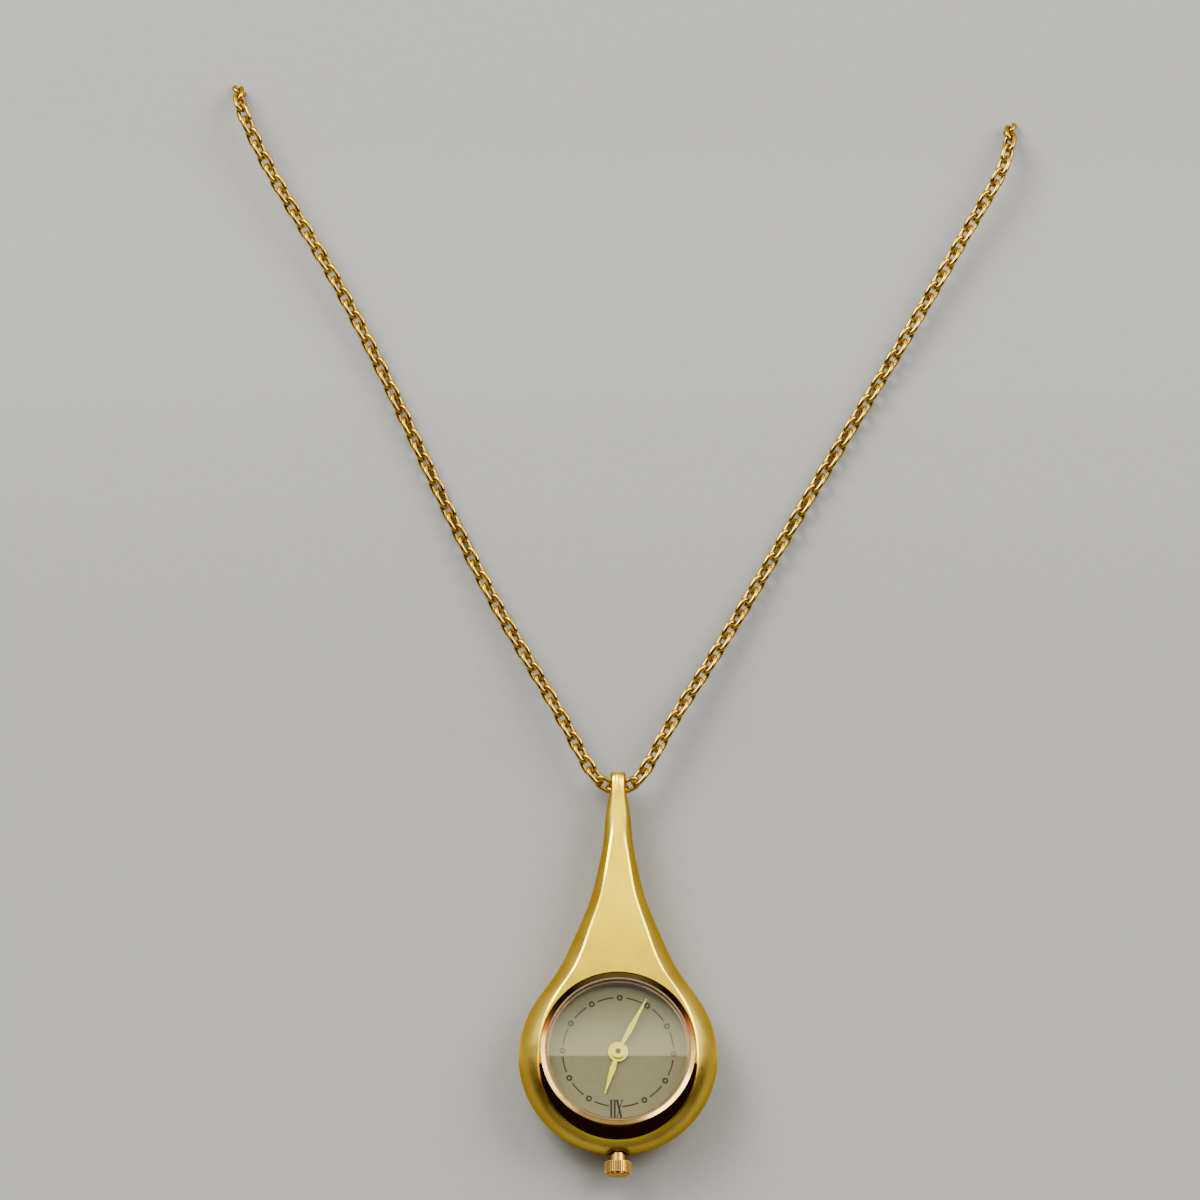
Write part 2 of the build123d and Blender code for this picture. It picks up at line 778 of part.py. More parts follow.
# Movement holder: a moulded ring that fills the case round the plate
back_rim_front = back_seat - back_rim_height

with BuildPart() as movement_holder:
    with BuildSketch(facing(back_rim_front)):
        Circle(cavity_radius - holder_fit)
        Circle(plate_radius + holder_fit, mode=Mode.SUBTRACT)
    extrude(amount=back_rim_front - dial_back)
    with BuildSketch(facing(plate_back + holder_lip_height)):
        Circle(plate_radius + 2 * holder_fit)
        Circle(holder_lip_radius, mode=Mode.SUBTRACT)
    extrude(amount=holder_lip_height)
    with BuildSketch(level(-holder_lip_radius + overrun)):
        with Locations((0, stem_depth)):
            Circle(tube_radius)
    extrude(amount=-cavity_radius, mode=Mode.SUBTRACT)
movement_holder.part.label = "movement_holder"
export_step(movement_holder.part, "parts/movement_holder.step")

# Train bridge: an arm over the pivots, cut back round the battery
battery_at = (battery_x, battery_z)

with BuildPart() as train_bridge:
    with BuildSketch(facing(bridge_back)):
        with Locations(*bridge_posts, rotor_at, (0, 0)):
            Circle(bridge_arm_radius)
        make_hull()
        with Locations(battery_at):
            Circle(battery_radius + battery_gap, mode=Mode.SUBTRACT)
        with Locations(*bridge_posts):
            Circle(screw_radius, mode=Mode.SUBTRACT)
        with Locations((0, 0), third_at):
            Circle(pivot_radius + pivot_fit, mode=Mode.SUBTRACT)
        with Locations(rotor_at):
            Circle(third_module + pivot_fit, mode=Mode.SUBTRACT)
    extrude(amount=bridge_thickness)
train_bridge.part.label = "train_bridge"
export_step(train_bridge.part, "parts/train_bridge.step")

# Stator: two arms that lead from the coil's ends to the ring round the rotor
def add_arm(points, radius, back, thickness):
    """Flat arm with round ends from point to point, part of the part being built."""
    with BuildSketch(facing(back)) as profile:
        with Locations(*points):
            Circle(radius)
        for (from_x, from_z), (to_x, to_z) in zip(points, points[1:]):
            run_x, run_z = to_x - from_x, to_z - from_z
            with Locations((from_x + run_x / 2, from_z + run_z / 2)):
                Rectangle(hypot(run_x, run_z), 2 * radius, rotation=degrees(atan2(run_z, run_x)))
    extrude(profile.sketch, amount=thickness)


def add_holes(points, radius, back, depth):
    """Round holes cut towards the viewer from a back depth."""
    with BuildSketch(facing(back)) as profile:
        with Locations(*points):
            Circle(radius)
    extrude(profile.sketch, amount=depth, mode=Mode.SUBTRACT)


stator_arm_x = coil_x + coil_flange_radius + stator_gap + stator_arm_width / 2
stator_ring_radius = rotor_radius + stator_gap + stator_ring_width
lower_post, upper_post = coil_posts
arm_foot = (stator_arm_x, rotor_at[1] + stator_ring_radius)

with BuildPart() as stator:
    add_arm([lower_post], core_pad_radius, stator_back, stator_thickness)
    add_arm([upper_post], core_pad_radius, stator_back, stator_thickness)
    add_arm([rotor_at], stator_ring_radius, stator_back, stator_thickness)
    add_arm([lower_post, (rotor_at[0], lower_post[1])], stator_arm_width / 2, stator_back, stator_thickness)
    add_arm([upper_post, (stator_arm_x, upper_post[1])], stator_arm_width / 2, stator_back, stator_thickness)
    add_arm([(stator_arm_x, upper_post[1]), arm_foot], stator_arm_width / 2, stator_back, stator_thickness)
    add_arm([arm_foot, rotor_at], stator_arm_width / 2, stator_back, stator_thickness)
    add_holes([rotor_at], rotor_radius + stator_gap, stator_back, stator_thickness)
    add_holes(coil_posts, screw_radius, stator_back, stator_thickness)
stator.part.label = "stator"
export_step(stator.part, "parts/stator.step")

# Coil: a core strip, a flanged bobbin and the winding between its flanges
core_back = stator_back + core_thickness
coil_at = (coil_x, (stator_back + core_back) / 2)

with BuildPart() as coil_core:
    add_arm(coil_posts, core_half_width, core_back, core_thickness)
    add_arm([lower_post], core_pad_radius, core_back, core_thickness)
    add_arm([upper_post], core_pad_radius, core_back, core_thickness)
    add_holes(coil_posts, screw_radius, core_back, core_thickness)
coil_core.part.label = "coil_core"
export_step(coil_core.part, "parts/coil_core.step")


def add_rod(radius, top, bottom, at, mode=Mode.ADD):
    """Upright rod or bore between two heights above the dial centre."""
    with BuildSketch(level(top)) as profile:
        with Locations(at):
            Circle(radius)
    extrude(profile.sketch, amount=bottom - top, mode=mode)


with BuildPart() as coil_bobbin:
    add_rod(coil_tube_radius, coil_half_length, -coil_half_length, coil_at)
    add_rod(coil_flange_radius, coil_half_length, coil_half_length - coil_flange_height, coil_at)
    add_rod(coil_flange_radius, coil_flange_height - coil_half_length, -coil_half_length, coil_at)
    with BuildSketch(level(coil_half_length)):
        with Locations(coil_at):
            Rectangle(2 * (core_half_width + pivot_fit), core_thickness + 2 * pivot_fit)
    extrude(amount=-2 * coil_half_length, mode=Mode.SUBTRACT)
coil_bobbin.part.label = "coil_bobbin"
export_step(coil_bobbin.part, "parts/coil_bobbin.step")

with BuildPart() as coil_winding:
    winding_end = coil_half_length - coil_flange_height
    add_rod(coil_radius, winding_end, -winding_end, coil_at)
    add_rod(coil_tube_radius, winding_end, -winding_end, coil_at, Mode.SUBTRACT)
coil_winding.part.label = "coil_winding"
export_step(coil_winding.part, "parts/coil_winding.step")

# Circuit board with its chip and the oscillator's can under it
board_middle = (oscillator_x, oscillator_z)

with BuildPart() as circuit_board:
    add_arm([board_posts[0], board_middle, board_posts[1]], board_edge_radius, board_back, board_thickness)
    add_holes(board_posts, screw_radius, board_back, board_thickness)
circuit_board.part.label = "circuit_board"
export_step(circuit_board.part, "parts/circuit_board.step")

with BuildPart() as timing_chip:
    with BuildSketch(facing(board_back + chip_height, *board_middle)):
        Rectangle(chip_side, chip_side)
    extrude(amount=chip_height)
timing_chip.part.label = "timing_chip"
export_step(timing_chip.part, "parts/timing_chip.step")

with BuildPart() as oscillator_can:
    can_at = (oscillator_x, plate_back + oscillator_radius)
    can_top = oscillator_z + oscillator_length / 2
    add_rod(oscillator_radius, can_top, can_top - oscillator_length, can_at)
oscillator_can.part.label = "oscillator_can"
export_step(oscillator_can.part, "parts/oscillator_can.step")

# Battery, the contact strip in front of it and the clamp behind it
with BuildPart() as battery:
    rim_front = battery_front + battery_rim_step
    add_post(battery_radius, battery_back, rim_front, battery_at)
    add_post(battery_radius - 2 * battery_rim_step, rim_front, battery_front, battery_at)
    chamfer(battery.edges().group_by(Axis.Y)[-1], battery_rim_step / 2)
battery.part.label = "battery"
export_step(battery.part, "parts/battery.step")

with BuildPart() as battery_contact:
    add_arm([contact_post, battery_at], contact_width / 2, battery_front, contact_thickness)
battery_contact.part.label = "battery_contact"
export_step(battery_contact.part, "parts/battery_contact.step")

with BuildPart() as battery_clamp:
    clamp_back = battery_back + clamp_thickness
    add_arm(clamp_posts, clamp_width / 2, clamp_back, clamp_thickness)
    add_holes(clamp_posts, screw_radius, clamp_back, clamp_thickness)
battery_clamp.part.label = "battery_clamp"
export_step(battery_clamp.part, "parts/battery_clamp.step")


# Slotted screws, one group for each piece that they hold down
def make_screws(label, points, seat, clamped):
    with BuildPart() as screws:
        with BuildSketch(facing(seat + screw_head_height)):
            with Locations(*points):
                Circle(screw_head_radius)
        extrude(amount=screw_head_height)
        with BuildSketch(facing(seat + screw_head_height)):
            with Locations(*points):
                Rectangle(2 * screw_head_radius, screw_slot)
        extrude(amount=screw_head_height / 2, mode=Mode.SUBTRACT)
        with BuildSketch(facing(seat)):
            with Locations(*points):
                Circle(screw_radius)
        extrude(amount=clamped + screw_length - axial_gap)
    screws.part.label = label
    export_step(screws.part, f"parts/{label}.step")


make_screws("bridge_screws", bridge_posts, bridge_back, bridge_thickness)
make_screws("coil_screws", coil_posts, core_back, core_thickness + stator_thickness)
make_screws("clamp_screws", clamp_posts, clamp_back, clamp_thickness)
make_screws("board_screws", board_posts, board_back, board_thickness)

# Stem with its clutch wheel, and the crown on its outer end
stem_at = (0, stem_depth)
clutch_bottom = clutch_top + clutch_length
crown_bottom = crown_top + crown_band_height
bore_end = crown_bottom - crown_floor
groove_middle = stem_groove_top + stem_groove_length / 2

with BuildPart() as stem:
    add_rod(stem_radius, -clutch_bottom, -bore_end - stem_thread, stem_at)
    add_rod(stem_pilot_radius, -stem_tip, -clutch_bottom, stem_at)
    add_rod(stem_radius, -stem_groove_top, -stem_groove_top - stem_groove_length, stem_at, Mode.SUBTRACT)
    add_rod(stem_groove_radius, -stem_groove_top, -stem_groove_top - stem_groove_length, stem_at)
stem.part.label = "stem"
export_step(stem.part, "parts/stem.step")

with BuildPart() as clutch_wheel:
    with BuildSketch(Plane(origin=(0, stem_depth, dial_z - clutch_top))):
        with BuildLine():
            Polyline(*gear_points(clutch_teeth, clutch_module, 0), close=True)
        make_face()
        Circle(stem_pilot_radius, mode=Mode.SUBTRACT)
    extrude(amount=-clutch_length)
clutch_wheel.part.label = "clutch_wheel"
export_step(clutch_wheel.part, "parts/clutch_wheel.step")

with BuildPart() as crown:
    with BuildSketch(level(-crown_top)):
        with Locations(stem_at):
            Circle(crown_radius)
            with PolarLocations(crown_radius, crown_grooves):
                Circle(crown_groove_depth, mode=Mode.SUBTRACT)
    extrude(amount=-crown_band_height)
    add_rod(crown_cap_radius, -crown_bottom, -crown_bottom - crown_cap_height, stem_at)
    fillet(crown.edges().group_by(Axis.Z)[0], crown_cap_round)
    add_rod(crown_collar_radius, crown_collar_length - crown_top, -crown_top, stem_at)
    add_rod(crown_bore_radius, crown_collar_length - crown_top, -bore_end, stem_at, Mode.SUBTRACT)
    add_rod(stem_radius, -bore_end, -bore_end - stem_thread, stem_at, Mode.SUBTRACT)
crown.part.label = "crown"
export_step(crown.part, "parts/crown.step")

with BuildPart() as crown_gasket:
    gasket_bottom = -crown_gasket_top - crown_gasket_height
    add_rod(crown_bore_radius - crown_gasket_fit, -crown_gasket_top, gasket_bottom, stem_at)
    add_rod(tube_radius + crown_gasket_fit, -crown_gasket_top, gasket_bottom, stem_at, Mode.SUBTRACT)
crown_gasket.part.label = "crown_gasket"
export_step(crown_gasket.part, "parts/crown_gasket.step")

with BuildPart() as case_tube:
    add_rod(tube_radius, -tube_inner_end, -tube_outer_end, stem_at)
    add_rod(tube_bore_radius, -tube_inner_end, -tube_outer_end, stem_at, Mode.SUBTRACT)
case_tube.part.label = "case_tube"
export_step(case_tube.part, "parts/case_tube.step")

# Setting lever, its pin in the stem's groove, and the spring strip over it
lever_pin = (0, -groove_middle)

with BuildPart() as setting_lever:
    with BuildSketch(facing(lever_back)):
        with Locations(lever_pivot):
            Circle(lever_post_radius + lever_arm_radius / 2)
        with Locations(lever_pin):
            Circle(lever_arm_radius)
        make_hull()
        with Locations(lever_pivot):
            Circle(lever_post_radius + pivot_fit, mode=Mode.SUBTRACT)
    extrude(amount=lever_thickness)
    add_post(lever_pin_radius, lever_front, stem_depth + stem_groove_radius + axial_gap, lever_pin)
setting_lever.part.label = "setting_lever"
export_step(setting_lever.part, "parts/setting_lever.step")

with BuildPart() as lever_spring:
    spring_back = spring_front + contact_thickness
    spring_end = (lever_arm_radius, lever_pin[1])
    add_arm([lever_spring_post], lever_post_radius + lever_arm_radius / 2, spring_back, contact_thickness)
    add_arm([lever_spring_post, spring_end], lever_arm_radius / 2, spring_back, contact_thickness)
    add_holes([lever_spring_post], screw_radius, spring_back, contact_thickness)
lever_spring.part.label = "lever_spring"
export_step(lever_spring.part, "parts/lever_spring.step")
make_screws("lever_spring_screw", [lever_spring_post], spring_back, contact_thickness)

# Case back: a pressed-on disc with a rim that goes inside the case, and its gasket
back_face = back_seat + back_thickness

with BuildPart() as case_back:
    add_post(back_radius, back_face, back_seat)
    chamfer(case_back.edges().group_by(Axis.Y)[-1], back_edge_chamfer)
    add_post(back_rim_radius, back_seat, back_rim_front)
    add_post(back_rim_radius - back_rim_width, back_seat, back_rim_front, mode=Mode.SUBTRACT)
    with BuildSketch(facing(back_face, 0, -back_radius)):
        Rectangle(pry_notch_width, 2 * pry_notch_depth)
    extrude(amount=pry_notch_depth, mode=Mode.SUBTRACT)
case_back.part.label = "case_back"
export_step(case_back.part, "parts/case_back.step")

with BuildPart() as case_back_gasket:
    add_post(back_gasket_outer, back_seat, back_seat - back_gasket_height)
    add_post(back_gasket_inner, back_seat, back_seat - back_gasket_height, mode=Mode.SUBTRACT)
case_back_gasket.part.label = "case_back_gasket"
export_step(case_back_gasket.part, "parts/case_back_gasket.step")

# Clasp: a hollow ring with a gap, a latch that slides round inside it, a spring and an eye for the chain
wire_radius = wire_diameter / 2
hook = wire_diameter + link_slack  # between the middles of two wires hooked together
left_jump_x = clasp_left_end + jump_ring_radius - hook / 2
eye_x = left_jump_x + jump_ring_radius - (wire_diameter + clasp_eye_wire) / 2 - link_slack + clasp_eye_radius
eye_outer = clasp_eye_radius + clasp_eye_wire / 2
clasp_x = eye_x + eye_outer - clasp_eye_weld + clasp_tube_radius + clasp_ring_radius
clasp_inner = clasp_ring_radius - clasp_tube_radius
right_jump_x = clasp_x + clasp_inner - wire_radius - link_slack + jump_ring_radius
clasp_right_end = right_jump_x + jump_ring_radius - hook / 2
clasp_centre = (clasp_x, chain_reach, 0)
clasp_axis = Axis(clasp_centre, (0, -1, 0))


def round_clasp(angle):
    """Section plane of the clasp's ring at an angle from +X: its x runs outwards and its y backwards."""
    across, up = polar(1, angle)
    return Plane(origin=clasp_centre, x_dir=(across, 0, up), z_dir=(-up, 0, across))


def add_bend(radius, start, turn, mode=Mode.ADD):
    """Round bar bent along the clasp's ring from a start angle."""
    with BuildSketch(round_clasp(start)) as profile:
        with Locations((clasp_ring_radius, 0)):
            Circle(radius)
    revolve(profile.sketch, axis=clasp_axis, revolution_arc=turn, mode=mode)


latch_start = clasp_gap_from - latch_seat
latch_turn = clasp_gap_to + latch_tail - latch_start
knob_angle = clasp_gap_to + latch_knob_turn
spring_start = clasp_gap_to + latch_tail + latch_travel
slot_width = 2 * (latch_knob_radius + knob_slot_gap)
slot_spare = degrees(slot_width / 2 / clasp_ring_radius)

with BuildPart() as clasp_ring:
    add_bend(clasp_tube_radius, clasp_gap_to, 360 - clasp_gap_to + clasp_gap_from)
    with BuildSketch(Plane.XZ.offset(-chain_reach)):
        with Locations((eye_x, 0)):
            Circle(eye_outer)
            Circle(eye_outer - clasp_eye_wire, mode=Mode.SUBTRACT)
    extrude(amount=clasp_eye_wire / 2, both=True)
    add_bend(clasp_bore_radius, clasp_gap_to, 360 - clasp_gap_to + clasp_gap_from, Mode.SUBTRACT)
    add_bend(clasp_bore_radius, spring_start + spring_turn, stop_turn)
    with BuildSketch(round_clasp(knob_angle - slot_spare)):
        with Locations((clasp_ring_radius + clasp_tube_radius, 0)):
            Rectangle(2 * clasp_tube_radius, slot_width)
    revolve(axis=clasp_axis, revolution_arc=latch_travel + 2 * slot_spare, mode=Mode.SUBTRACT)
clasp_ring.part.label = "clasp_ring"
export_step(clasp_ring.part, "parts/clasp_ring.step")

with BuildPart() as clasp_latch:
    add_bend(clasp_bore_radius - latch_fit, latch_start, latch_turn)
    knob_across, knob_up = polar(1, knob_angle)
    knob_plane = Plane(origin=clasp_centre, z_dir=(knob_across, 0, knob_up)).offset(clasp_ring_radius)
    with BuildSketch(knob_plane):
        Circle(latch_knob_radius)
    extrude(amount=clasp_tube_radius + latch_knob_reach)
clasp_latch.part.label = "clasp_latch"
export_step(clasp_latch.part, "parts/clasp_latch.step")

with BuildPart() as clasp_spring:
    add_bend(spring_radius, spring_start, spring_turn)
clasp_spring.part.label = "clasp_spring"
export_step(clasp_spring.part, "parts/clasp_spring.step")

with BuildPart() as jump_rings:
    for x in (left_jump_x, right_jump_x):
        with BuildSketch(Plane(origin=(x, chain_reach, 0), x_dir=(1, 0, 0), z_dir=(0, -1, 0))):
            with Locations((jump_ring_radius, 0)):
                Circle(wire_radius)
        revolve(axis=Axis((x, chain_reach, 0), (0, 0, 1)))
jump_rings.part.label = "jump_rings"
export_step(jump_rings.part, "parts/jump_rings.step")

# Route of the chain from the clasp's left, down through the bail and back to its right.
# Shares: across of the half-width, back of the reach, up from the bail of the drop.
left_route_shares = [
    (-0.424, 0.913, 1.003),
    (-0.700, 0.702, 1.008),
    (-0.857, 0.462, 1.016),
    (-0.922, 0.231, 1.025),
    (-0.958, 0.087, 1.036),
    (-0.977, 0.043, 1.040),
    (-0.983, 0.012, 1.022),
    (-0.940, 0.0, 0.955),
    (-0.761, 0.0, 0.778),
    (-0.526, 0.0, 0.515),
    (-0.294, 0.0, 0.251),
    (-0.114, 0.0, 0.074),
    (-0.063, 0.0, 0.0235),
    (-0.039, 0.0, 0.0089),
]
right_route_shares = [
    (0.039, 0.0, 0.0089),
    (0.063, 0.0, 0.0235),
    (0.114, 0.0, 0.074),
    (0.211, 0.0, 0.163),
    (0.491, 0.0, 0.427),
    (0.772, 0.0, 0.691),
    (0.952, 0.0, 0.867),
    (1.005, 0.003, 0.928),
    (1.017, 0.019, 0.970),
    (1.009, 0.053, 0.987),
    (0.989, 0.096, 0.990),
    (0.948, 0.235, 0.993),
    (0.866, 0.465, 0.996),
    (0.704, 0.705, 0.998),
    (0.424, 0.914, 1.0),
]
bail_rest_share = 0.0022
back_share = 0.25  # of the chain's length, at either end, over which it turns from upright to corner-on
chain_lean = 55.0


def on_route(across, back, up):
    return (across * chain_half_width, back * chain_reach, hinge_z + up * chain_drop)


route_points = [Vector(clasp_left_end, chain_reach, 0)]
route_points += [Vector(on_route(*share)) for share in left_route_shares]
route_points += [Vector(on_route(0, 0, bail_rest_share))]
route_points += [Vector(on_route(*share)) for share in right_route_shares]
route_points += [Vector(clasp_right_end, chain_reach, 0)]

# The curve's parameter runs with the distance between points, which keeps it free of loops and waves
distances = [0]
for before, after in zip(route_points, route_points[1:]):
    distances.append(distances[-1] + (after - before).length)
route = Edge.make_spline(
    route_points, tangents=[Vector(-1, 0, 0), Vector(-1, 0, 0)], parameters=distances, scale=False
)

link_count = 2 * round((route.length / link_pitch - 1) / 2) + 1
link_step = route.length / link_count
link_half_run = (link_step + hook) / 2
bend_radius = (link_width - wire_diameter) / 2
side_run = link_half_run - bend_radius

# One link: a round wire bent to a long ring
with BuildPart() as link:
    with BuildLine() as link_line:
        upper = Line((-side_run, bend_radius), (side_run, bend_radius))
        outer = RadiusArc(upper @ 1, (side_run, -bend_radius), bend_radius)
        lower = Line(outer @ 1, (-side_run, -bend_radius))
        RadiusArc(lower @ 1, upper @ 0, bend_radius)
    with BuildSketch(Plane(origin=upper @ 0, z_dir=upper % 0)):
        Circle(wire_radius)
    sweep(path=link_line.wires()[0])

joints = [route.position_at(step * link_step, PositionMode.LENGTH) for step in range(link_count + 1)]
side = Vector(0, 0, 1)
link_places = []
for number, (start, end) in enumerate(zip(joints, joints[1:])):
    along = (end - start).normalized()
    side = (side - along * side.dot(along)).normalized()
    share = (number + 0.5) / link_count
    lean = chain_lean * min(1, share / back_share, (1 - share) / back_share)
    turned = side.rotate(Axis((0, 0, 0), along), lean + (0 if number % 2 else 90))
    link_places.append(Plane(origin=(start + end) / 2, x_dir=along, z_dir=turned))


def make_chain(label, places):
    with BuildPart() as chain:
        with Locations(*places):
            add(link.part)
    chain.part.label = label
    export_step(chain.part, f"parts/{label}.step")


front_places = [place for place in link_places if place.origin.Y < front_links_depth]
back_places = [place for place in link_places if place.origin.Y >= front_links_depth]
make_chain("chain_front_left", [place for place in front_places if place.origin.X < 0])
make_chain("chain_front_right", [place for place in front_places if place.origin.X >= 0])
make_chain("chain_back_left", [place for place in back_places if place.origin.X < 0])
make_chain("chain_back_right", [place for place in back_places if place.origin.X >= 0])

turns = [place.x_dir.get_angle(after.x_dir) for place, after in zip(link_places, link_places[1:])]
print(f"chain {route.length:.1f} long, {link_count} links of {link_step:.3f}")
print(f"sharpest turn between links {max(turns):.1f} degrees")
print(f"clasp from {clasp_left_end:.2f} to {clasp_right_end:.2f}, its ring at {clasp_x:.2f}")
left_view, right_view = link_places[3 * link_count // 8], link_places[5 * link_count // 8]
print(f"links of the V turned {left_view.z_dir.Y:.3f} and {right_view.z_dir.Y:.3f} to the front")
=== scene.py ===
import json
from math import atan2, cos, pi, radians, sin

import bmesh
import bpy
import numpy as np
from mathutils import Matrix, Vector


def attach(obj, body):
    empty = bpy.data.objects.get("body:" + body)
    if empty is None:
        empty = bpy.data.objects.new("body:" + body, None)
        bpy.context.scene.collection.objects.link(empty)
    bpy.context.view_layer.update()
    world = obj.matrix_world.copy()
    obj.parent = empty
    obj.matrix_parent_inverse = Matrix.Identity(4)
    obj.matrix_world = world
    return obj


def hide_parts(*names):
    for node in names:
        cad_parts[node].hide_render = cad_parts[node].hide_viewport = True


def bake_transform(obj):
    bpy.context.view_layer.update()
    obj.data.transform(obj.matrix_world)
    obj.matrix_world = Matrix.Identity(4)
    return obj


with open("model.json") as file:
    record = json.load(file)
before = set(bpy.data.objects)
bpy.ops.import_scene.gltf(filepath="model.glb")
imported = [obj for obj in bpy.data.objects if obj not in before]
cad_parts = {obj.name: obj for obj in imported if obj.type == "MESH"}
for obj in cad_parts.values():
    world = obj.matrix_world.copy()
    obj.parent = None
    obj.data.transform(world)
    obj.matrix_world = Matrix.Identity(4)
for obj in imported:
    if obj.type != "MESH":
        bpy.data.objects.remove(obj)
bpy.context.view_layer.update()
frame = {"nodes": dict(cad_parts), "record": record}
nodes = frame["nodes"]

MM = 0.001
HINGE_Z = -91.35
BAIL_TO_DIAL = 35.3
DIAL_Z = HINGE_Z - BAIL_TO_DIAL
STEM_DEPTH = 0.1

# Camera: 12 degrees below the watch on a long lens, on the photo's scale of 0.131 mm to a pixel
PIXEL = 0.131 * MM
PICTURE_WIDTH = 1200
SENSOR_WIDTH = 36
VIEW_TILT = radians(-12)
VIEW_DISTANCE = 4.0
aim = Vector((-2.36, 0, HINGE_Z + 25.4)) * MM
towards = Vector((0, -cos(VIEW_TILT), sin(VIEW_TILT)))
camera_data = bpy.data.cameras.new("camera")
camera_data.sensor_width = SENSOR_WIDTH
camera_data.lens = SENSOR_WIDTH * VIEW_DISTANCE / (PICTURE_WIDTH * PIXEL)
camera_data.clip_start = 0.01
camera_data.clip_end = 20
camera = bpy.data.objects.new("camera", camera_data)
camera.location = aim + towards * VIEW_DISTANCE
camera.rotation_mode = "QUATERNION"
camera.rotation_quaternion = (-towards).to_track_quat("-Z", "Y")
bpy.context.scene.collection.objects.link(camera)
bpy.context.scene.camera = camera


class Value:
    """A shader socket that can be used in sums."""

    def __init__(self, maker, socket):
        self.maker = maker
        self.socket = socket

    def math(self, operation, *others):
        return self.maker.make("ShaderNodeMath", self, *others, operation=operation)

    def __add__(self, other):
        return self.math("ADD", other)

    def __mul__(self, other):
        return self.math("MULTIPLY", other)

    def __sub__(self, other):
        return self.math("SUBTRACT", other)

    def __truediv__(self, other):
        return self.math("DIVIDE", other)

    def __rsub__(self, other):
        return self.maker.make("ShaderNodeMath", other, self, operation="SUBTRACT")

    __radd__ = __add__
    __rmul__ = __mul__

    def over(self, low, high):
        """0 below low, 1 above high and smooth between."""
        return self.maker.make("ShaderNodeMapRange", self, low, high, interpolation_type="SMOOTHSTEP")

    def to(self, low, high):
        """This value from 0 to 1 spread from low to high."""
        return self * (high - low) + low


class Nodes:
    """A node tree built up in code."""

    def __init__(self, tree):
        self.tree = tree

    def make(self, kind, *inputs, out=0, **settings):
        node = self.tree.nodes.new(kind)
        for name, value in settings.items():
            setattr(node, name, value)
        for number, value in enumerate(inputs):
            self.feed(node.inputs[number], value)
        return Value(self, node.outputs[out])

    def feed(self, socket, value):
        if isinstance(value, Value):
            self.tree.links.new(value.socket, socket)
        elif value is not None:
            socket.default_value = value

    def part(self, source, axis):
        return self.make("ShaderNodeSeparateXYZ", source, out=axis)

    def mix(self, factor, first, second):
        node = self.tree.nodes.new("ShaderNodeMix")
        node.data_type = "RGBA"
        for name, value in (("Factor_Float", factor), ("A_Color", first), ("B_Color", second)):
            self.feed(next(s for s in node.inputs if s.identifier == name), value)
        return Value(self, next(s for s in node.outputs if s.identifier == "Result_Color"))


class Paint(Nodes):
    """A node material built up in code."""

    def __init__(self, name, **settings):
        self.material = bpy.data.materials.new(name)
        self.material.use_nodes = True
        super().__init__(self.material.node_tree)
        self.shader = self.tree.nodes["Principled BSDF"]
        self.set(**settings)
        self.coords = self.make("ShaderNodeTexCoord", out="Object")

    def set(self, **settings):
        for name, value in settings.items():
            self.feed(self.shader.inputs[name.replace("_", " ")], value)

    def place(self, axis):
        """One coordinate in millimetres."""
        return self.part(self.coords, axis) / MM

    def stretched(self, x, y, z):
        return self.make("ShaderNodeMapping", self.coords, None, None, (x, y, z))

    def noise(self, scale, detail=3.0, source=None):
        return self.make("ShaderNodeTexNoise", source or self.coords, None, scale, detail, out="Fac")

    def bump(self, height, strength, distance):
        node = self.tree.nodes.new("ShaderNodeBump")
        node.inputs["Strength"].default_value = strength
        node.inputs["Distance"].default_value = distance
        self.feed(node.inputs["Height"], height)
        self.set(Normal=Value(self, node.outputs[0]))


def tone(r, g, b):
    return (r, g, b, 1.0)


def gold(name, colour, deep, low, high, brush=None, bump=0.0, shade_painter=None):
    """Gold plate: two tones in soft clouds, a roughness range and, if asked, brush lines or painted shade."""
    paint = Paint(name, Metallic=1.0, Specular_Tint=tone(1.0, 0.74, 0.3))
    clouds = paint.mix(paint.noise(260.0, 4.0).over(0.35, 0.7), deep, colour)
    paint.set(Base_Color=shade_painter(paint, clouds) if shade_painter else clouds)
    fine = paint.noise(900.0, 6.0, paint.stretched(*brush) if brush else None)
    smudge = paint.noise(420.0, 5.0)
    paint.set(Roughness=(fine * 0.5 + smudge * 0.5).over(0.3, 0.7).to(low, high))
    if bump:
        paint.bump(fine, bump, 0.02 * MM)
    return paint


def shaded_grooves(paint, plate):
    """Painted shade: the knurl's grooves are painted darker; they are told from its band by their distance
    from the crown's axis.
    """
    x, y = paint.place(0), paint.place(1) - STEM_DEPTH
    from_axis = (x * x + y * y).math("SQRT")
    up = paint.place(2) - DIAL_Z
    band_zone = up.over(-15.74, -15.7) * (1 - up.over(-14.34, -14.3))
    groove_shade = from_axis.over(1.5, 1.6) * (1 - from_axis.over(1.67, 1.73)) * band_zone
    return paint.mix(groove_shade, plate, tone(0.12, 0.06, 0.015))


GOLD = tone(0.92, 0.66, 0.004)
GOLD_DEEP = tone(0.86, 0.59, 0.004)
# Painted shade: the flank's gold is a darker, olive copy of the case's gold, for the flank's shading
OLIVE = tone(0.60, 0.42, 0.06)
OLIVE_DEEP = tone(0.52, 0.34, 0.045)
PALE = tone(0.84, 0.66, 0.02)
PALE_DEEP = tone(0.78, 0.58, 0.015)
ROSE = tone(0.70, 0.44, 0.10)
ROSE_DEEP = tone(0.58, 0.33, 0.06)
LINK = tone(0.58, 0.39, 0.045)
LINK_DEEP = tone(0.44, 0.27, 0.03)

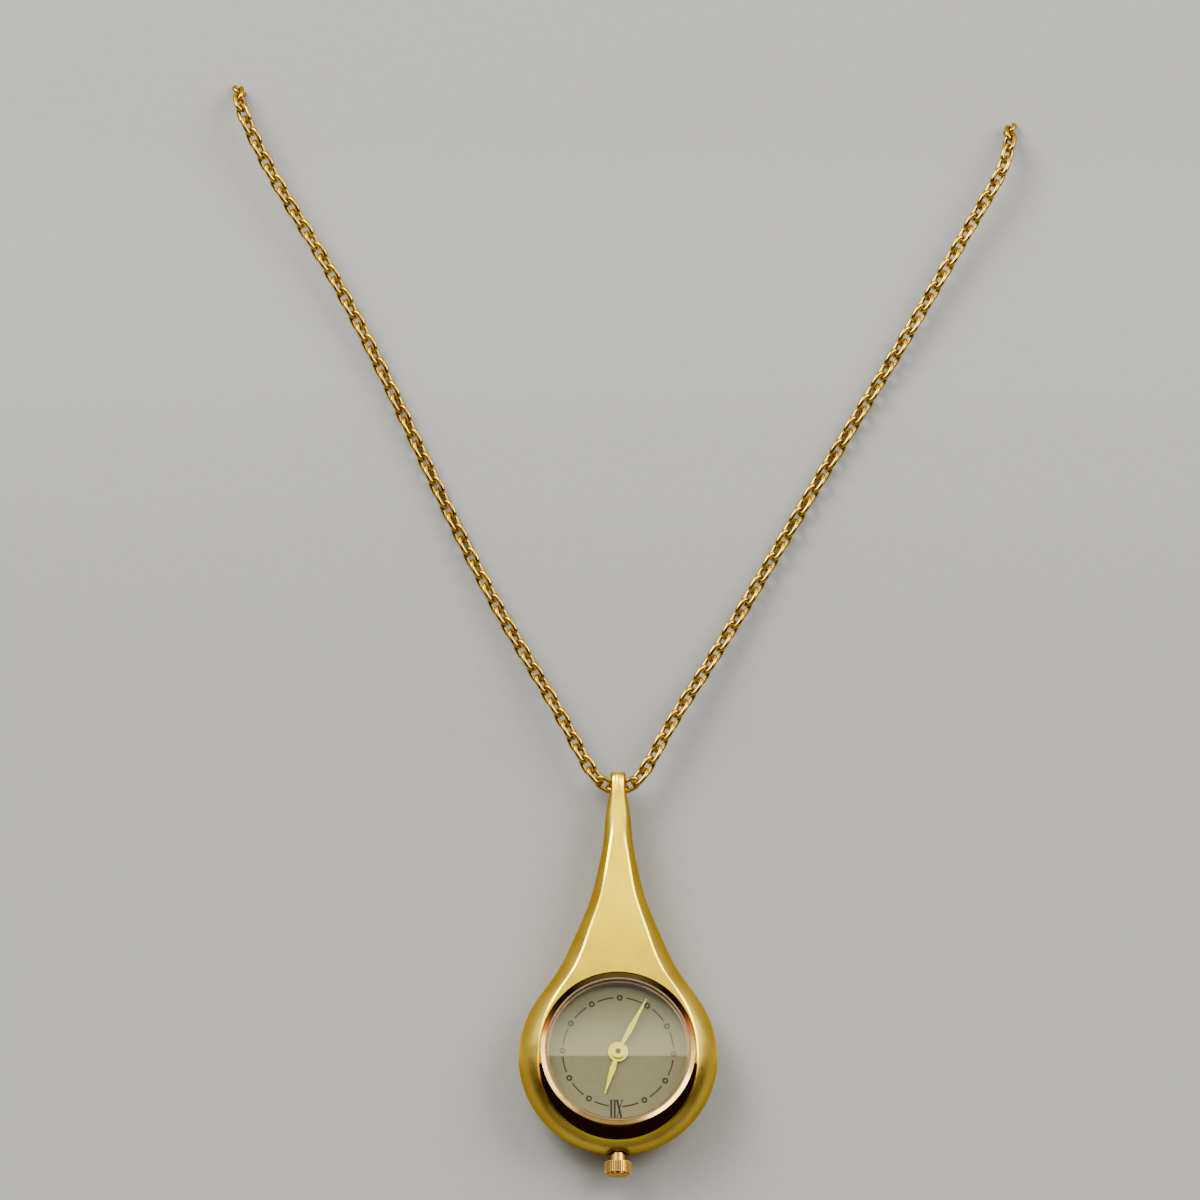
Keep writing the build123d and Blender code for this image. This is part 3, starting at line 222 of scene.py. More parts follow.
polished = gold("gold_polished", GOLD, GOLD_DEEP, 0.08, 0.16)
satin = gold("gold_satin", GOLD, GOLD_DEEP, 0.30, 0.42, brush=(6, 6, 1), bump=0.2)
flank = gold("gold_flank_painted_shade", OLIVE, OLIVE_DEEP, 0.26, 0.34, brush=(3, 3, 1))
edge_gold = gold("gold_edge", PALE, PALE_DEEP, 0.16, 0.24)
mirror = gold("gold_mirror", tone(0.92, 0.64, 0.12), tone(0.85, 0.56, 0.09), 0.03, 0.07)
# The crown's gold carries painted shade in the knurl's grooves
crown_gold = gold("gold_crown", ROSE, ROSE_DEEP, 0.16, 0.26, shade_painter=shaded_grooves)
lip_gold = gold("gold_lip", tone(0.40, 0.25, 0.07), tone(0.32, 0.19, 0.045), 0.12, 0.18)
chain_gold = gold("gold_chain", LINK, LINK_DEEP, 0.10, 0.2)
hand_gold = gold("gold_hand", tone(1.0, 0.94, 0.06), tone(0.98, 0.9, 0.05), 0.2, 0.28)

crystal_paint = Paint("crystal_glass", Metallic=1.0, Base_Color=tone(1, 1, 1), Roughness=0.0)
# Both faces of the glass are seen in the front one
fresnel = crystal_paint.make("ShaderNodeFresnel", 1.8)
from_inside = crystal_paint.make("ShaderNodeNewGeometry", out="Backfacing")
crystal_paint.set(Alpha=fresnel * (1 - from_inside))

dial_paint = Paint("dial_champagne", Metallic=0.55)
dial_grain = dial_paint.noise(1500.0, 4.0)
dial_tone = dial_paint.mix(dial_grain.over(0.3, 0.7), tone(0.158, 0.149, 0.06), tone(0.174, 0.164, 0.067))
dial_paint.set(Base_Color=dial_tone, Roughness=dial_grain.to(0.38, 0.48))

ink = Paint("dial_ink", Roughness=0.7, Specular_IOR_Level=0.1)
ink.set(Base_Color=ink.mix(ink.noise(3000.0), tone(0.008, 0.006, 0.001), tone(0.016, 0.012, 0.003)))


def plain(name, colour, dark, low, high, metal=0.0, scale=800.0, bump=0.0):
    """Plain part: two tones of fine grain over a roughness range."""
    paint = Paint(name, Metallic=metal)
    grain = paint.noise(scale, 5.0)
    paint.set(Base_Color=paint.mix(grain.over(0.3, 0.7), dark, colour), Roughness=grain.to(low, high))
    if bump:
        paint.bump(grain, bump, 0.03 * MM)
    return paint


steel = plain("steel_satin", tone(0.70, 0.71, 0.72), tone(0.58, 0.59, 0.61), 0.2, 0.34, 1.0)
screw_steel = plain("steel_screw", tone(0.55, 0.57, 0.62), tone(0.42, 0.45, 0.52), 0.1, 0.2, 1.0)
cell_steel = plain("steel_cell", tone(0.76, 0.77, 0.78), tone(0.66, 0.67, 0.69), 0.16, 0.3, 1.0, 300.0)
brass = plain("brass_plate", tone(0.80, 0.66, 0.40), tone(0.70, 0.56, 0.32), 0.22, 0.36, 1.0)
rubber = plain("gasket_rubber", tone(0.05, 0.05, 0.05), tone(0.03, 0.03, 0.03), 0.6, 0.8, 0.0, 2000.0, 0.2)
holder = plain("holder_plastic", tone(0.80, 0.79, 0.74), tone(0.74, 0.73, 0.68), 0.4, 0.55)
black_plastic = plain("black_plastic", tone(0.06, 0.06, 0.06), tone(0.04, 0.04, 0.04), 0.35, 0.5)
board = plain("board_mask", tone(0.06, 0.26, 0.12), tone(0.04, 0.18, 0.08), 0.3, 0.45)
copper = Paint("coil_copper", Metallic=0.7)
turns = copper.make("ShaderNodeTexWave", copper.coords, 6000.0, 0.2, out="Fac", bands_direction="Z")
copper.set(Base_Color=copper.mix(turns, tone(0.35, 0.13, 0.05), tone(0.72, 0.34, 0.15)), Roughness=0.3)
copper.bump(turns, 0.4, 0.03 * MM)

# Painted shade: the cannon pinion's post is painted near black, for the shade in the hub's hole
post_hole_shade = plain("brass_post_hole_shade", tone(0.05, 0.04, 0.006), tone(0.03, 0.024, 0.004), 0.3, 0.4, 1.0)
nylon = plain("gasket_nylon", tone(0.22, 0.155, 0.10), tone(0.18, 0.125, 0.08), 0.4, 0.5)
ring_rose = plain("ring_rose", tone(0.30, 0.225, 0.15), tone(0.24, 0.175, 0.115), 0.3, 0.4, 0.6)
# Painted shade and reflection: the crown's recess is dark red metal, for the shade and the dark red reflection
# in it
recess_shade_paint = plain("case_recess_painted_shade", tone(0.16, 0.03, 0.02), tone(0.09, 0.015, 0.01), 0.25, 0.35, 1.0)
# Painted shade: the arbor's end is painted near black, for the shade in the hub's hole
centre_paint = Paint("brass_centre_hole_shade", Metallic=1.0, Roughness=0.3)
arbor_end_shade = 1 - centre_paint.place(1).over(-2.3, -2.2)
centre_paint.set(Base_Color=centre_paint.mix(arbor_end_shade, tone(0.76, 0.62, 0.36), tone(0.04, 0.032, 0.005)))

slot_paints = {
    "gold_case": polished,
    "gold_chain": chain_gold,
    "gold_crown": crown_gold,
    "latch_steel": chain_gold,
    "hand_gold": hand_gold,
    "glass": crystal_paint,
    "dial_face": dial_paint,
    "ring_gold": ring_rose,
    "gasket_rubber": rubber,
    "holder_plastic": holder,
    "plate_brass": brass,
    "wheel_brass": brass,
    "steel": steel,
    "screw_steel": screw_steel,
    "coil_copper": copper,
    "bobbin_plastic": black_plastic,
    "board_green": board,
    "chip_black": black_plastic,
    "cell_steel": cell_steel,
}
node_paints = {"centre_wheel": centre_paint, "crystal_gasket": nylon, "cannon_pinion": post_hole_shade}
for part in frame["record"]["subparts"]:
    chosen = node_paints.get(part["node"], slot_paints[part["material_slot"]])
    materials = nodes[part["node"]].data.materials
    materials.clear()
    materials.append(chosen.material)


def made_object(name, builder, paints):
    """An object of the faces in a builder."""
    mesh = bpy.data.meshes.new(name)
    builder.to_mesh(mesh)
    builder.free()
    for paint in paints:
        mesh.materials.append(paint.material)
    made = bpy.data.objects.new(name, mesh)
    bpy.context.scene.collection.objects.link(made)
    return made


def piece(name, builder, body, paints, replaced=()):
    """A piece of the watch, with its faces outwards."""
    bmesh.ops.recalc_face_normals(builder, faces=builder.faces)
    made = made_object(name, builder, paints)
    if body:
        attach(made, body)
    if replaced:
        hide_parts(*replaced)
    return made


def join_rings(builder, rings, closed):
    """Smooth faces from each ring of points to the next, and from the last to the first if closed."""
    sides = len(rings[0])
    for ring, after in zip(rings, rings[1:] + rings[:1] if closed else rings[1:]):
        for side in range(sides):
            beside = (side + 1) % sides
            builder.faces.new((ring[side], after[side], after[beside], ring[beside])).smooth = True


# Chain: each solid link gives its middle and its axes, and a light link is set there
def islands(mesh):
    """The loose parts of a mesh, each as an array of its vertices."""
    builder = bmesh.new()
    builder.from_mesh(mesh)
    bmesh.ops.remove_doubles(builder, verts=builder.verts, dist=1e-6)
    found = []
    seen = set()
    for start in builder.verts:
        if start in seen:
            continue
        seen.add(start)
        group = [start]
        for vert in group:
            for edge in vert.link_edges:
                other = edge.other_vert(vert)
                if other not in seen:
                    seen.add(other)
                    group.append(other)
        found.append(np.array([vert.co for vert in group]))
    builder.free()
    return found


def link_frame(points):
    """Middle, axes (long, across, thin) and half sizes of one link."""
    middle = points.mean(axis=0)
    spread = np.linalg.svd((points - middle).T @ (points - middle))[0]
    axes = [spread[:, number] for number in range(3)]
    along = (points - middle) @ np.array(axes).T
    middle = middle + sum(axes[n] * (along[:, n].min() + along[:, n].max()) / 2 for n in range(3))
    return middle, axes, (along.max(axis=0) - along.min(axis=0)) / 2


LINK_SIDES = 8
LINK_BEND_STEPS = 6


def add_link(builder, points):
    """A round-wired link in the place of the solid link that has these points."""
    middle, axes, half = link_frame(points)
    wire = half[2]
    bend = half[1] - wire
    run = half[0] - half[1]
    path = []
    for end in (1, -1):
        for step in range(LINK_BEND_STEPS + 1):
            angle = pi / 2 - pi * step / LINK_BEND_STEPS
            outward = np.array((end * cos(angle), end * sin(angle)))
            path.append((outward * bend + (end * run, 0), outward))
    rings = []
    for (u, v), (ou, ov) in path:
        ring = []
        for side in range(LINK_SIDES):
            turn = 2 * pi * side / LINK_SIDES
            out, up = wire * cos(turn), wire * sin(turn)
            place = middle + axes[0] * (u + ou * out) + axes[1] * (v + ov * out) + axes[2] * up
            ring.append(builder.verts.new(place))
        rings.append(ring)
    join_rings(builder, rings, True)


for chain_node in ("chain_front_left", "chain_front_right", "chain_back_left", "chain_back_right"):
    builder = bmesh.new()
    for points in islands(nodes[chain_node].data):
        add_link(builder, points)
    piece(chain_node + "_links", builder, "chain", [chain_gold], [chain_node])


# Clasp spring: a coil of wire inside the clasp's ring, built in one fixed shape; on the real clasp it is
# pressed together as the latch slides
CLASP_CENTRE = Vector((1.62, 104.0, 0.0))
CLASP_RING = 2.6
SPRING_FROM, SPRING_TO = 99.5, 182.5
COIL_RADIUS = 0.29
SPRING_WIRE = 0.05
SPRING_TURNS = 15
TURN_STEPS = 12
WIRE_SIDES = 6


def on_clasp(angle, out=0.0, back=0.0):
    """Point of the clasp by its angle round the ring from +X."""
    reach = CLASP_RING + out
    return (CLASP_CENTRE + Vector((reach * cos(angle), back, reach * sin(angle)))) * MM


def on_coil(step):
    """Point of the wire's middle at one step, and the point of the ring that it winds round."""
    turn = 2 * pi * step / TURN_STEPS
    angle = radians(SPRING_FROM + (SPRING_TO - SPRING_FROM) * step / (SPRING_TURNS * TURN_STEPS))
    return on_clasp(angle, COIL_RADIUS * cos(turn), COIL_RADIUS * sin(turn)), on_clasp(angle)


def coil_ring(builder, step):
    """The wire's section at one step of the coil."""
    here, middle = on_coil(step)
    along = (on_coil(step + 1)[0] - on_coil(step - 1)[0]).normalized()
    across = along.cross((here - middle).normalized()).normalized()
    outward = across.cross(along)
    angles = [2 * pi * side / WIRE_SIDES for side in range(WIRE_SIDES)]
    return [builder.verts.new(here + (outward * cos(a) + across * sin(a)) * SPRING_WIRE * MM) for a in angles]


builder = bmesh.new()
rings = [coil_ring(builder, step) for step in range(SPRING_TURNS * TURN_STEPS + 1)]
join_rings(builder, rings, False)
builder.faces.new(rings[0])
builder.faces.new(rings[-1][::-1])
coil = piece("clasp_coil", builder, None, [chain_gold], ["clasp_spring"])
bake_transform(coil)


def place_at(x, depth, z):
    """Point of the watch in millimetres from the dial's middle, as a place in the frame."""
    return Vector((x, depth, DIAL_Z + z)) * MM


# Case: the sections of the teardrop as smooth curves of the height above the dial
CASE_RADIUS = 13.0
CASE_DROP = 0.35
CASE_MIDDLE = 0.1
CASE_HALF_DEPTH = 4.81
NECK_HEIGHT = BAIL_TO_DIAL + CASE_DROP
BAIL_RADIUS = 2.2
# Share of the height, then shares of the full half-width and half-depth, and the flat share of the width
SECTIONS = np.array(
    [
        (0.0, 1.0, 1.0, 0.63),
        (0.094, 0.966, 1.015, 0.64),
        (0.184, 0.864, 1.04, 0.65),
        (0.318, 0.612, 1.075, 0.56),
        (0.45, 0.435, 1.02, 0.5),
        (0.571, 0.296, 0.93, 0.44),
        (0.686, 0.211, 0.84, 0.4),
        (0.804, 0.15, 0.75, 0.36),
        (0.902, 0.125, 0.64, 0.3),
        (0.952, 0.104, 0.56, 0.32),
        (1.0, 0.084, 0.54, 0.36),
        (1.08, 0.078, 0.54, 0.36),
    ]
)
# The front's depth and height as shares, from the neck down
FRONT = [(-0.728, 0.722), (-0.936, 0.283), (-0.852, 0.0), (-0.561, -0.341), (-0.489, -0.411)]


def curve(places, values, first=None, last=None):
    """Cubic curve through points, with the slopes at its ends or free ends."""
    x = np.array(places, float)
    y = np.array(values, float)
    n = len(x)
    gap = np.diff(x)
    rise = np.diff(y) / gap
    system = np.zeros((n, n))
    right = np.zeros(n)
    for i in range(1, n - 1):
        system[i, i - 1 : i + 2] = gap[i], 2 * (gap[i - 1] + gap[i]), gap[i - 1]
        right[i] = 3 * (gap[i] * rise[i - 1] + gap[i - 1] * rise[i])
    if first is None:
        system[0, :2], right[0] = (2, 1), 3 * rise[0]
    else:
        system[0, 0], right[0] = 1, first
    if last is None:
        system[-1, -2:], right[-1] = (1, 2), 3 * rise[-1]
    else:
        system[-1, -1], right[-1] = 1, last
    slope = np.linalg.solve(system, right)

    def at(place):
        i = int(min(max(np.searchsorted(x, place) - 1, 0), n - 2))
        t = (place - x[i]) / gap[i]
        a = y[i] * (1 + 2 * t) * (1 - t) ** 2 + slope[i] * gap[i] * t * (1 - t) ** 2
        b = y[i + 1] * t * t * (3 - 2 * t) - slope[i + 1] * gap[i] * t * t * (1 - t)
        return a + b

    return at


half_width_at = curve(SECTIONS[:, 0], SECTIONS[:, 1] * CASE_RADIUS, 0.0)
half_depth_at = curve(SECTIONS[:, 0], SECTIONS[:, 2] * CASE_HALF_DEPTH)
flat_share_at = curve(SECTIONS[:, 0], SECTIONS[:, 3])
front_curve = curve(
    [z * BAIL_TO_DIAL for _, z in reversed(FRONT)] + [BAIL_TO_DIAL],
    [y * CASE_HALF_DEPTH for y, _ in reversed(FRONT)] + [-BAIL_RADIUS],
    -0.12,
    0.0,
)
CASE_BACK = 4.1
BACK_FLAT = 8.0
back_curve = curve(
    [BACK_FLAT, 0.62 * BAIL_TO_DIAL, BAIL_TO_DIAL], [CASE_BACK, 0.6 * CASE_HALF_DEPTH, BAIL_RADIUS], 0.0, 0.0
)
FRONT_BAIL_POWER = 3.5


def bail_depth(z, power=2.0):
    """Half-depth of the bail's end: round for a power of 2, and squarer above."""
    return max(BAIL_RADIUS**power - abs(z - BAIL_TO_DIAL) ** power, 0) ** (1 / power)


def front_depth(z):
    return -bail_depth(z, FRONT_BAIL_POWER) if z > BAIL_TO_DIAL else front_curve(z)


def back_depth(z):
    if z > BAIL_TO_DIAL:
        return bail_depth(z)
    return back_curve(z) if z > BACK_FLAT else CASE_BACK


# Front facet: half-width by height above the dial, and round the crescent under the bezel
FACET = [
    (-0.35, 10.35), (2.75, 9.96), (6.6, 8.45), (10.44, 5.9), (15.75, 3.77), (20.75, 2.16), (23.5, 1.64),
    (26.4, 1.18), (29.2, 0.78), (32.1, 0.6), (37.5, 0.56),
]
facet_at = curve([z for z, _ in FACET], [x for _, x in FACET], 0.0, 0.0)
CRESCENT_GROWTH = 1.25


def plan(way, out):
    """Place of a point in the dial's plane: way is ("level", height) or ("round", angle)."""
    kind, value = way
    if kind == "level":
        return out, value
    return out * cos(value), -CASE_DROP + out * sin(value)


FLANK_START = radians(35)
# Towards the bail the flank's front is fuller
FULLER, FULLER_FROM, FULLER_OVER = 0.55, 0.6, 0.35


def flank_rows(way):
    """The facet's edge, then points round the case's flank to its flat back, as (out, depth)."""
    kind, value = way
    share = max(value + CASE_DROP, 0) / NECK_HEIGHT if kind == "level" else 0
    width, depth, flat = half_width_at(share), half_depth_at(share), flat_share_at(share)
    inner = flat * width
    centre = (width**2 - inner**2 - depth**2) / (2 * (width - inner))
    radius = width - centre
    edge_out = facet_at(value) if kind == "level" else facet_at(-CASE_DROP) + CRESCENT_GROWTH * sin(-value)
    edge_depth = front_depth(plan(way, edge_out)[1])
    boxy = 1 - FULLER * min(max((share - FULLER_FROM) / FULLER_OVER, 0), 1)

    def front(turn):
        across = (sin(turn) - sin(FLANK_START)) / (1 - sin(FLANK_START))
        drop = cos(turn) / cos(FLANK_START)
        out = edge_out + (width - edge_out) * max(across, 0) ** boxy
        return out, CASE_MIDDLE + (edge_depth - CASE_MIDDLE) * drop

    # Where the flank begins, past the edge's rounding
    low, high = FLANK_START, pi / 2
    for _ in range(HALVINGS):
        middle = (low + high) / 2
        out, y = front(middle)
        if (out - edge_out) ** 2 + (y - edge_depth) ** 2 > EDGE_ROUND**2:
            high = middle
        else:
            low = middle
    rows = [front(low + (pi / 2 - low) * row / FRONT_FLANK_ROWS) for row in range(FRONT_FLANK_ROWS)]
    reach = back_depth(plan(way, width)[1]) - CASE_MIDDLE
    last = atan2(reach, max(radius**2 - reach**2, 0) ** 0.5)
    for row in range(BACK_FLANK_ROWS + 1):
        turn = last * row / BACK_FLANK_ROWS
        rows.append((centre + radius * cos(turn), CASE_MIDDLE + radius * sin(turn)))
    return edge_out, rows


EDGE_IN = 0.12
EDGE_IN_SHARE = 0.45
EDGE_ROUND = 0.17
HALVINGS = 30
BORE_RADIUS = 10.18
BEZEL_SEAT = -2.6
CAVITY_RADIUS = 9.5
BACK_SEAT = 3.3
BACK_BORE = 10.2
# Steps of the hollow from the back's bore to the bezel's, as (radius, depth)
CAVITY = [
    (BACK_BORE, BACK_SEAT), (CAVITY_RADIUS, BACK_SEAT), (CAVITY_RADIUS, BEZEL_SEAT), (BORE_RADIUS, BEZEL_SEAT),
]
FACE_ROWS = 26
FRONT_FLANK_ROWS = 14
BACK_FLANK_ROWS = 8
FLANK_ROWS = FRONT_FLANK_ROWS + BACK_FLANK_ROWS
BACK_ROWS = 60
ROUND_STEPS = 45
LEVEL_STEPS = 73
BAIL_ANGLES = (12, 24, 36, 48, 60, 70, 80, 87)
TOP_CROWDING = 2.8

ways = [("round", radians(a)) for a in np.linspace(-90, 0, ROUND_STEPS + 1)]
ways += [("level", z) for z in np.linspace(-CASE_DROP, BAIL_TO_DIAL, LEVEL_STEPS + 1)[1:]]
ways += [("level", BAIL_TO_DIAL + BAIL_RADIUS * sin(radians(a))) for a in BAIL_ANGLES]


def column(number):
    """Rows of points round the case at one way, from the bezel's bore over the front, flank and back."""
    way = ways[number]
    if number <= ROUND_STEPS:
        hole_angle = radians(-90 + 90 * number / ROUND_STEPS)
    else:
        rest = (number - ROUND_STEPS) / (len(ways) - 1 - ROUND_STEPS)
        hole_angle = radians(90 * (1 - (1 - rest) ** TOP_CROWDING))
    edge_out, flank_line = flank_rows(way)
    edge_x, edge_z = plan(way, edge_out)
    hole = Vector((BORE_RADIUS * cos(hole_angle), 0, BORE_RADIUS * sin(hole_angle)))
    inward = Vector((hole.x - edge_x, 0, hole.z - edge_z))
    if way[0] == "level" and way[1] > BORE_RADIUS:
        inward = Vector((-edge_x, 0, 0))
    rim = Vector((edge_x, 0, edge_z)) + inward.normalized() * min(EDGE_IN, EDGE_IN_SHARE * inward.length)
    rows = []
    for row in range(FACE_ROWS):
        t = 1 - (1 - row / (FACE_ROWS - 1)) ** 2
        x, z = hole.x + (rim.x - hole.x) * t, hole.z + (rim.z - hole.z) * t
        rows.append(Vector((x, front_depth(z), z)))
    for out, depth in flank_line:
        x, z = plan(way, out)
        rows.append(Vector((x, depth, z)))
    last = rows[-1]
    back_hole = Vector((BACK_BORE * cos(hole_angle), 0, BACK_BORE * sin(hole_angle)))
    for row in range(1, BACK_ROWS + 1):
        t = row / BACK_ROWS
        x, z = last.x + (back_hole.x - last.x) * t, last.z + (back_hole.z - last.z) * t
        rows.append(Vector((x, back_depth(z), z)))
    for radius, depth in CAVITY:
        rows.append(Vector((radius * cos(hole_angle), depth, radius * sin(hole_angle))))
    return rows


right = [column(number) for number in range(len(ways))]
# The lowest column lies on the middle line and is shared by both sides
left = [[Vector((-p.x, p.y, p.z)) for p in rows] for rows in reversed(right[1:])]
columns = right + left

builder = bmesh.new()
grid = [[builder.verts.new(place_at(*p)) for p in rows] for rows in columns]
row_count = len(grid[0])
SATIN_FACE, EDGE_FACE, FLANK_FACE, MIRROR_FACE, POLISHED_FACE = range(5)
CRESCENT_TOP = -1.8
edge_row = FACE_ROWS - 1
for rows, after in zip(grid, grid[1:] + grid[:1]):
    for row in range(row_count):
        below = (row + 1) % row_count
        face = builder.faces.new((rows[row], rows[below], after[below], after[row]))
        face.smooth = True
        if row < edge_row:
            level = (rows[row].co.z + after[row].co.z) / 2 / MM - DIAL_Z
            face.material_index = MIRROR_FACE if level < CRESCENT_TOP else SATIN_FACE
        elif row == edge_row:
            face.material_index = EDGE_FACE
        elif row <= edge_row + FLANK_ROWS:
            face.material_index = FLANK_FACE
        else:
            face.material_index = POLISHED_FACE
sharp_rows = {0, edge_row, edge_row + 1, edge_row + FLANK_ROWS + 1}
sharp_rows.update(range(row_count - len(CAVITY) - 1, row_count))
for rows, after in zip(grid, grid[1:] + grid[:1]):
    for row in sharp_rows:
        builder.edges.get((rows[row], after[row])).smooth = False
case = piece(
    "case_shell", builder, "watch_head", [satin, edge_gold, flank, mirror, polished], ["case_body"]
)


def cut(target, cutters):
    """Cuts closed meshes out of a piece and keeps the result as its mesh."""
    for cutter in cutters:
        modifier = target.modifiers.new("cut", "BOOLEAN")
        modifier.operation = "DIFFERENCE"
        modifier.solver = "EXACT"
        modifier.material_mode = "TRANSFER"
        modifier.object = cutter
    bpy.context.view_layer.update()
    graph = bpy.context.evaluated_depsgraph_get()
    mesh = bpy.data.meshes.new_from_object(target.evaluated_get(graph))
    target.modifiers.clear()
    target.data = mesh
    for cutter in cutters:
        bpy.data.objects.remove(cutter)


BAR_SIDES = 64


def round_bar(name, paint, radius, start, end):
    """A closed round bar from one point to another."""
    run, reach = end - start, radius * MM
    builder = bmesh.new()
    made = bmesh.ops.create_cone(
        builder, cap_ends=True, segments=BAR_SIDES, radius1=reach, radius2=reach, depth=run.length
    )
    matrix = Matrix.Translation((start + end) / 2) @ run.to_track_quat("Z", "Y").to_matrix().to_4x4()
    bmesh.ops.transform(builder, matrix=matrix, verts=made["verts"])
    for face in builder.faces:
        face.smooth = len(face.verts) == 4
    return made_object(name, builder, [paint])


BAIL_HOLE = 1.45
BAIL_REACH = 6
RECESS_RADIUS = 1.5
CASE_END = -CASE_RADIUS - CASE_DROP
bail_ends = [place_at(x, 0, BAIL_TO_DIAL) for x in (-BAIL_REACH, BAIL_REACH)]
recess_ends = [place_at(0, STEM_DEPTH, CASE_END + z) for z in (1.1, -2)]
bail_cutter = round_bar("bail_cutter", polished, BAIL_HOLE, *bail_ends)
# The recess's cut faces take its painted shade
recess_cutter = round_bar("recess_cutter", recess_shade_paint, RECESS_RADIUS, *recess_ends)
cut(case, [bail_cutter, recess_cutter])

# The neck's back is a curve of the height alone: its long thin faces take their shading from that curve
SLOPE_STEP = 0.01
BACK_LEAST = 1.8
shading = [(0.0, 0.0, 0.0)] * len(case.data.loops)
for face in case.data.polygons:
    x, deep, up = face.center.x / MM, face.center.y / MM, face.center.z / MM - DIAL_Z
    on_back = face.material_index == POLISHED_FACE and deep > BACK_LEAST and x * x + up * up > BACK_BORE**2
    if on_back and BACK_FLAT < up < BAIL_TO_DIAL:
        for loop in face.loop_indices:
            z = case.data.vertices[case.data.loops[loop].vertex_index].co.z / MM - DIAL_Z
            slope = (back_depth(z + SLOPE_STEP) - back_depth(z - SLOPE_STEP)) / (2 * SLOPE_STEP)
            shading[loop] = Vector((0, 1, -slope)).normalized()
case.data.normals_split_custom_set(shading)

# Bezel: a ring with a bevelled lip, as (radius, depth) round its section
BEZEL = [
    (10.16, -2.6), (10.16, -4.08), (10.11, -4.14), (9.5, -3.87), (9.5, -3.05), (9.0, -3.05), (9.0, -2.6),
]
BEZEL_STEPS = 160
builder = bmesh.new()
rings = []
for step in range(BEZEL_STEPS):
    angle = 2 * pi * step / BEZEL_STEPS
    rings.append([builder.verts.new(place_at(r * cos(angle), y, r * sin(angle))) for r, y in BEZEL])
for ring, after in zip(rings, rings[1:] + rings[:1]):
    for k in range(len(BEZEL)):
        beside = (k + 1) % len(BEZEL)
        builder.faces.new((ring[k], ring[beside], after[beside], after[k])).smooth = True
for ring, after in zip(rings, rings[1:] + rings[:1]):
    for here, there in zip(ring, after):
        builder.edges.get((here, there)).smooth = False
piece("bezel_ring", builder, "watch_head", [lip_gold], ["bezel"])

# Dial print: thin raised ink, turned a little on the dial
INK_BACK = -1.7
INK_FRONT = -1.72
INK_TURN = radians(-91.7)
TRACK_RADIUS = 7.24
TRACK_WIDTH = 0.18
RING_OUTER = 0.4
RING_INNER = 0.17
# Degrees left free between an hour ring and the line, and after and before the numeral
ARC_GAP, GAP_AFTER_NUMERAL, GAP_BEFORE_NUMERAL = 6.5, 6.2, 7.8
# The numeral stands on its head: its strokes as top x, bottom x and width, and its serifs
NUMERAL_TOP, NUMERAL_BOTTOM = -6.38, -8.72
STROKES = [(-0.89, -0.89, 0.25), (-0.43, -0.43, 0.23), (-0.12, 0.42, 0.27), (0.55, -0.14, 0.12)]
SERIFS = [(-1.08, 0.1, NUMERAL_TOP), (0.38, 0.7, NUMERAL_TOP), (-1.06, -0.26, NUMERAL_BOTTOM)]
SERIF_HALF = 0.04


def prism(builder, points):
    """A closed flat piece of ink over an outline in the dial's plane."""
    sides = [[builder.verts.new(place_at(x, depth, z)) for x, z in points] for depth in (INK_FRONT, INK_BACK)]
    builder.faces.new(sides[0])
    builder.faces.new(sides[1][::-1])
    for here, after in zip(range(len(points)), [*range(1, len(points)), 0]):
        builder.faces.new((sides[0][here], sides[1][here], sides[1][after], sides[0][after]))


RING_STEPS = 32
ARC_STEPS = 12


def band(builder, middle, inner, outer, arc=None):
    """A closed flat piece of ink along an arc, or all the way round."""
    whole = arc is None
    start, end = (0.0, 2 * pi) if whole else arc
    steps = RING_STEPS if whole else ARC_STEPS
    corners = []
    for step in range(steps if whole else steps + 1):
        angle = start + (end - start) * step / steps
        corners.append(
            [
                builder.verts.new(place_at(middle[0] + r * cos(angle), y, middle[1] + r * sin(angle)))
                for r, y in ((inner, INK_FRONT), (outer, INK_FRONT), (outer, INK_BACK), (inner, INK_BACK))
            ]
        )
    for here, after in zip(corners, corners[1:] + corners[:1] if whole else corners[1:]):
        for k in range(4):
            builder.faces.new((here[k], here[(k + 1) % 4], after[(k + 1) % 4], after[k]))
    if not whole:
        builder.faces.new(corners[0][::-1])
        builder.faces.new(corners[-1])


builder = bmesh.new()
for hour in range(12):
    angle = INK_TURN + radians(30 * hour)
    if hour:
        band(builder, (TRACK_RADIUS * cos(angle), TRACK_RADIUS * sin(angle)), RING_INNER, RING_OUTER)
    arc_start = angle + radians(ARC_GAP if hour else GAP_AFTER_NUMERAL)
    arc_end = angle + radians(30 - (ARC_GAP if hour < 11 else GAP_BEFORE_NUMERAL))
    band(builder, (0, 0), TRACK_RADIUS - TRACK_WIDTH / 2, TRACK_RADIUS + TRACK_WIDTH / 2, (arc_start, arc_end))
for top, bottom, width in STROKES:
    upper = [(top + x, NUMERAL_TOP) for x in (-width / 2, width / 2)]
    lower = [(bottom + x, NUMERAL_BOTTOM) for x in (width / 2, -width / 2)]
    prism(builder, upper + lower)
for x_from, x_to, z in SERIFS:
    low, high = z - SERIF_HALF, z + SERIF_HALF
    prism(builder, [(x_from, low), (x_to, low), (x_to, high), (x_from, high)])
piece("dial_print", builder, "watch_head", [ink])


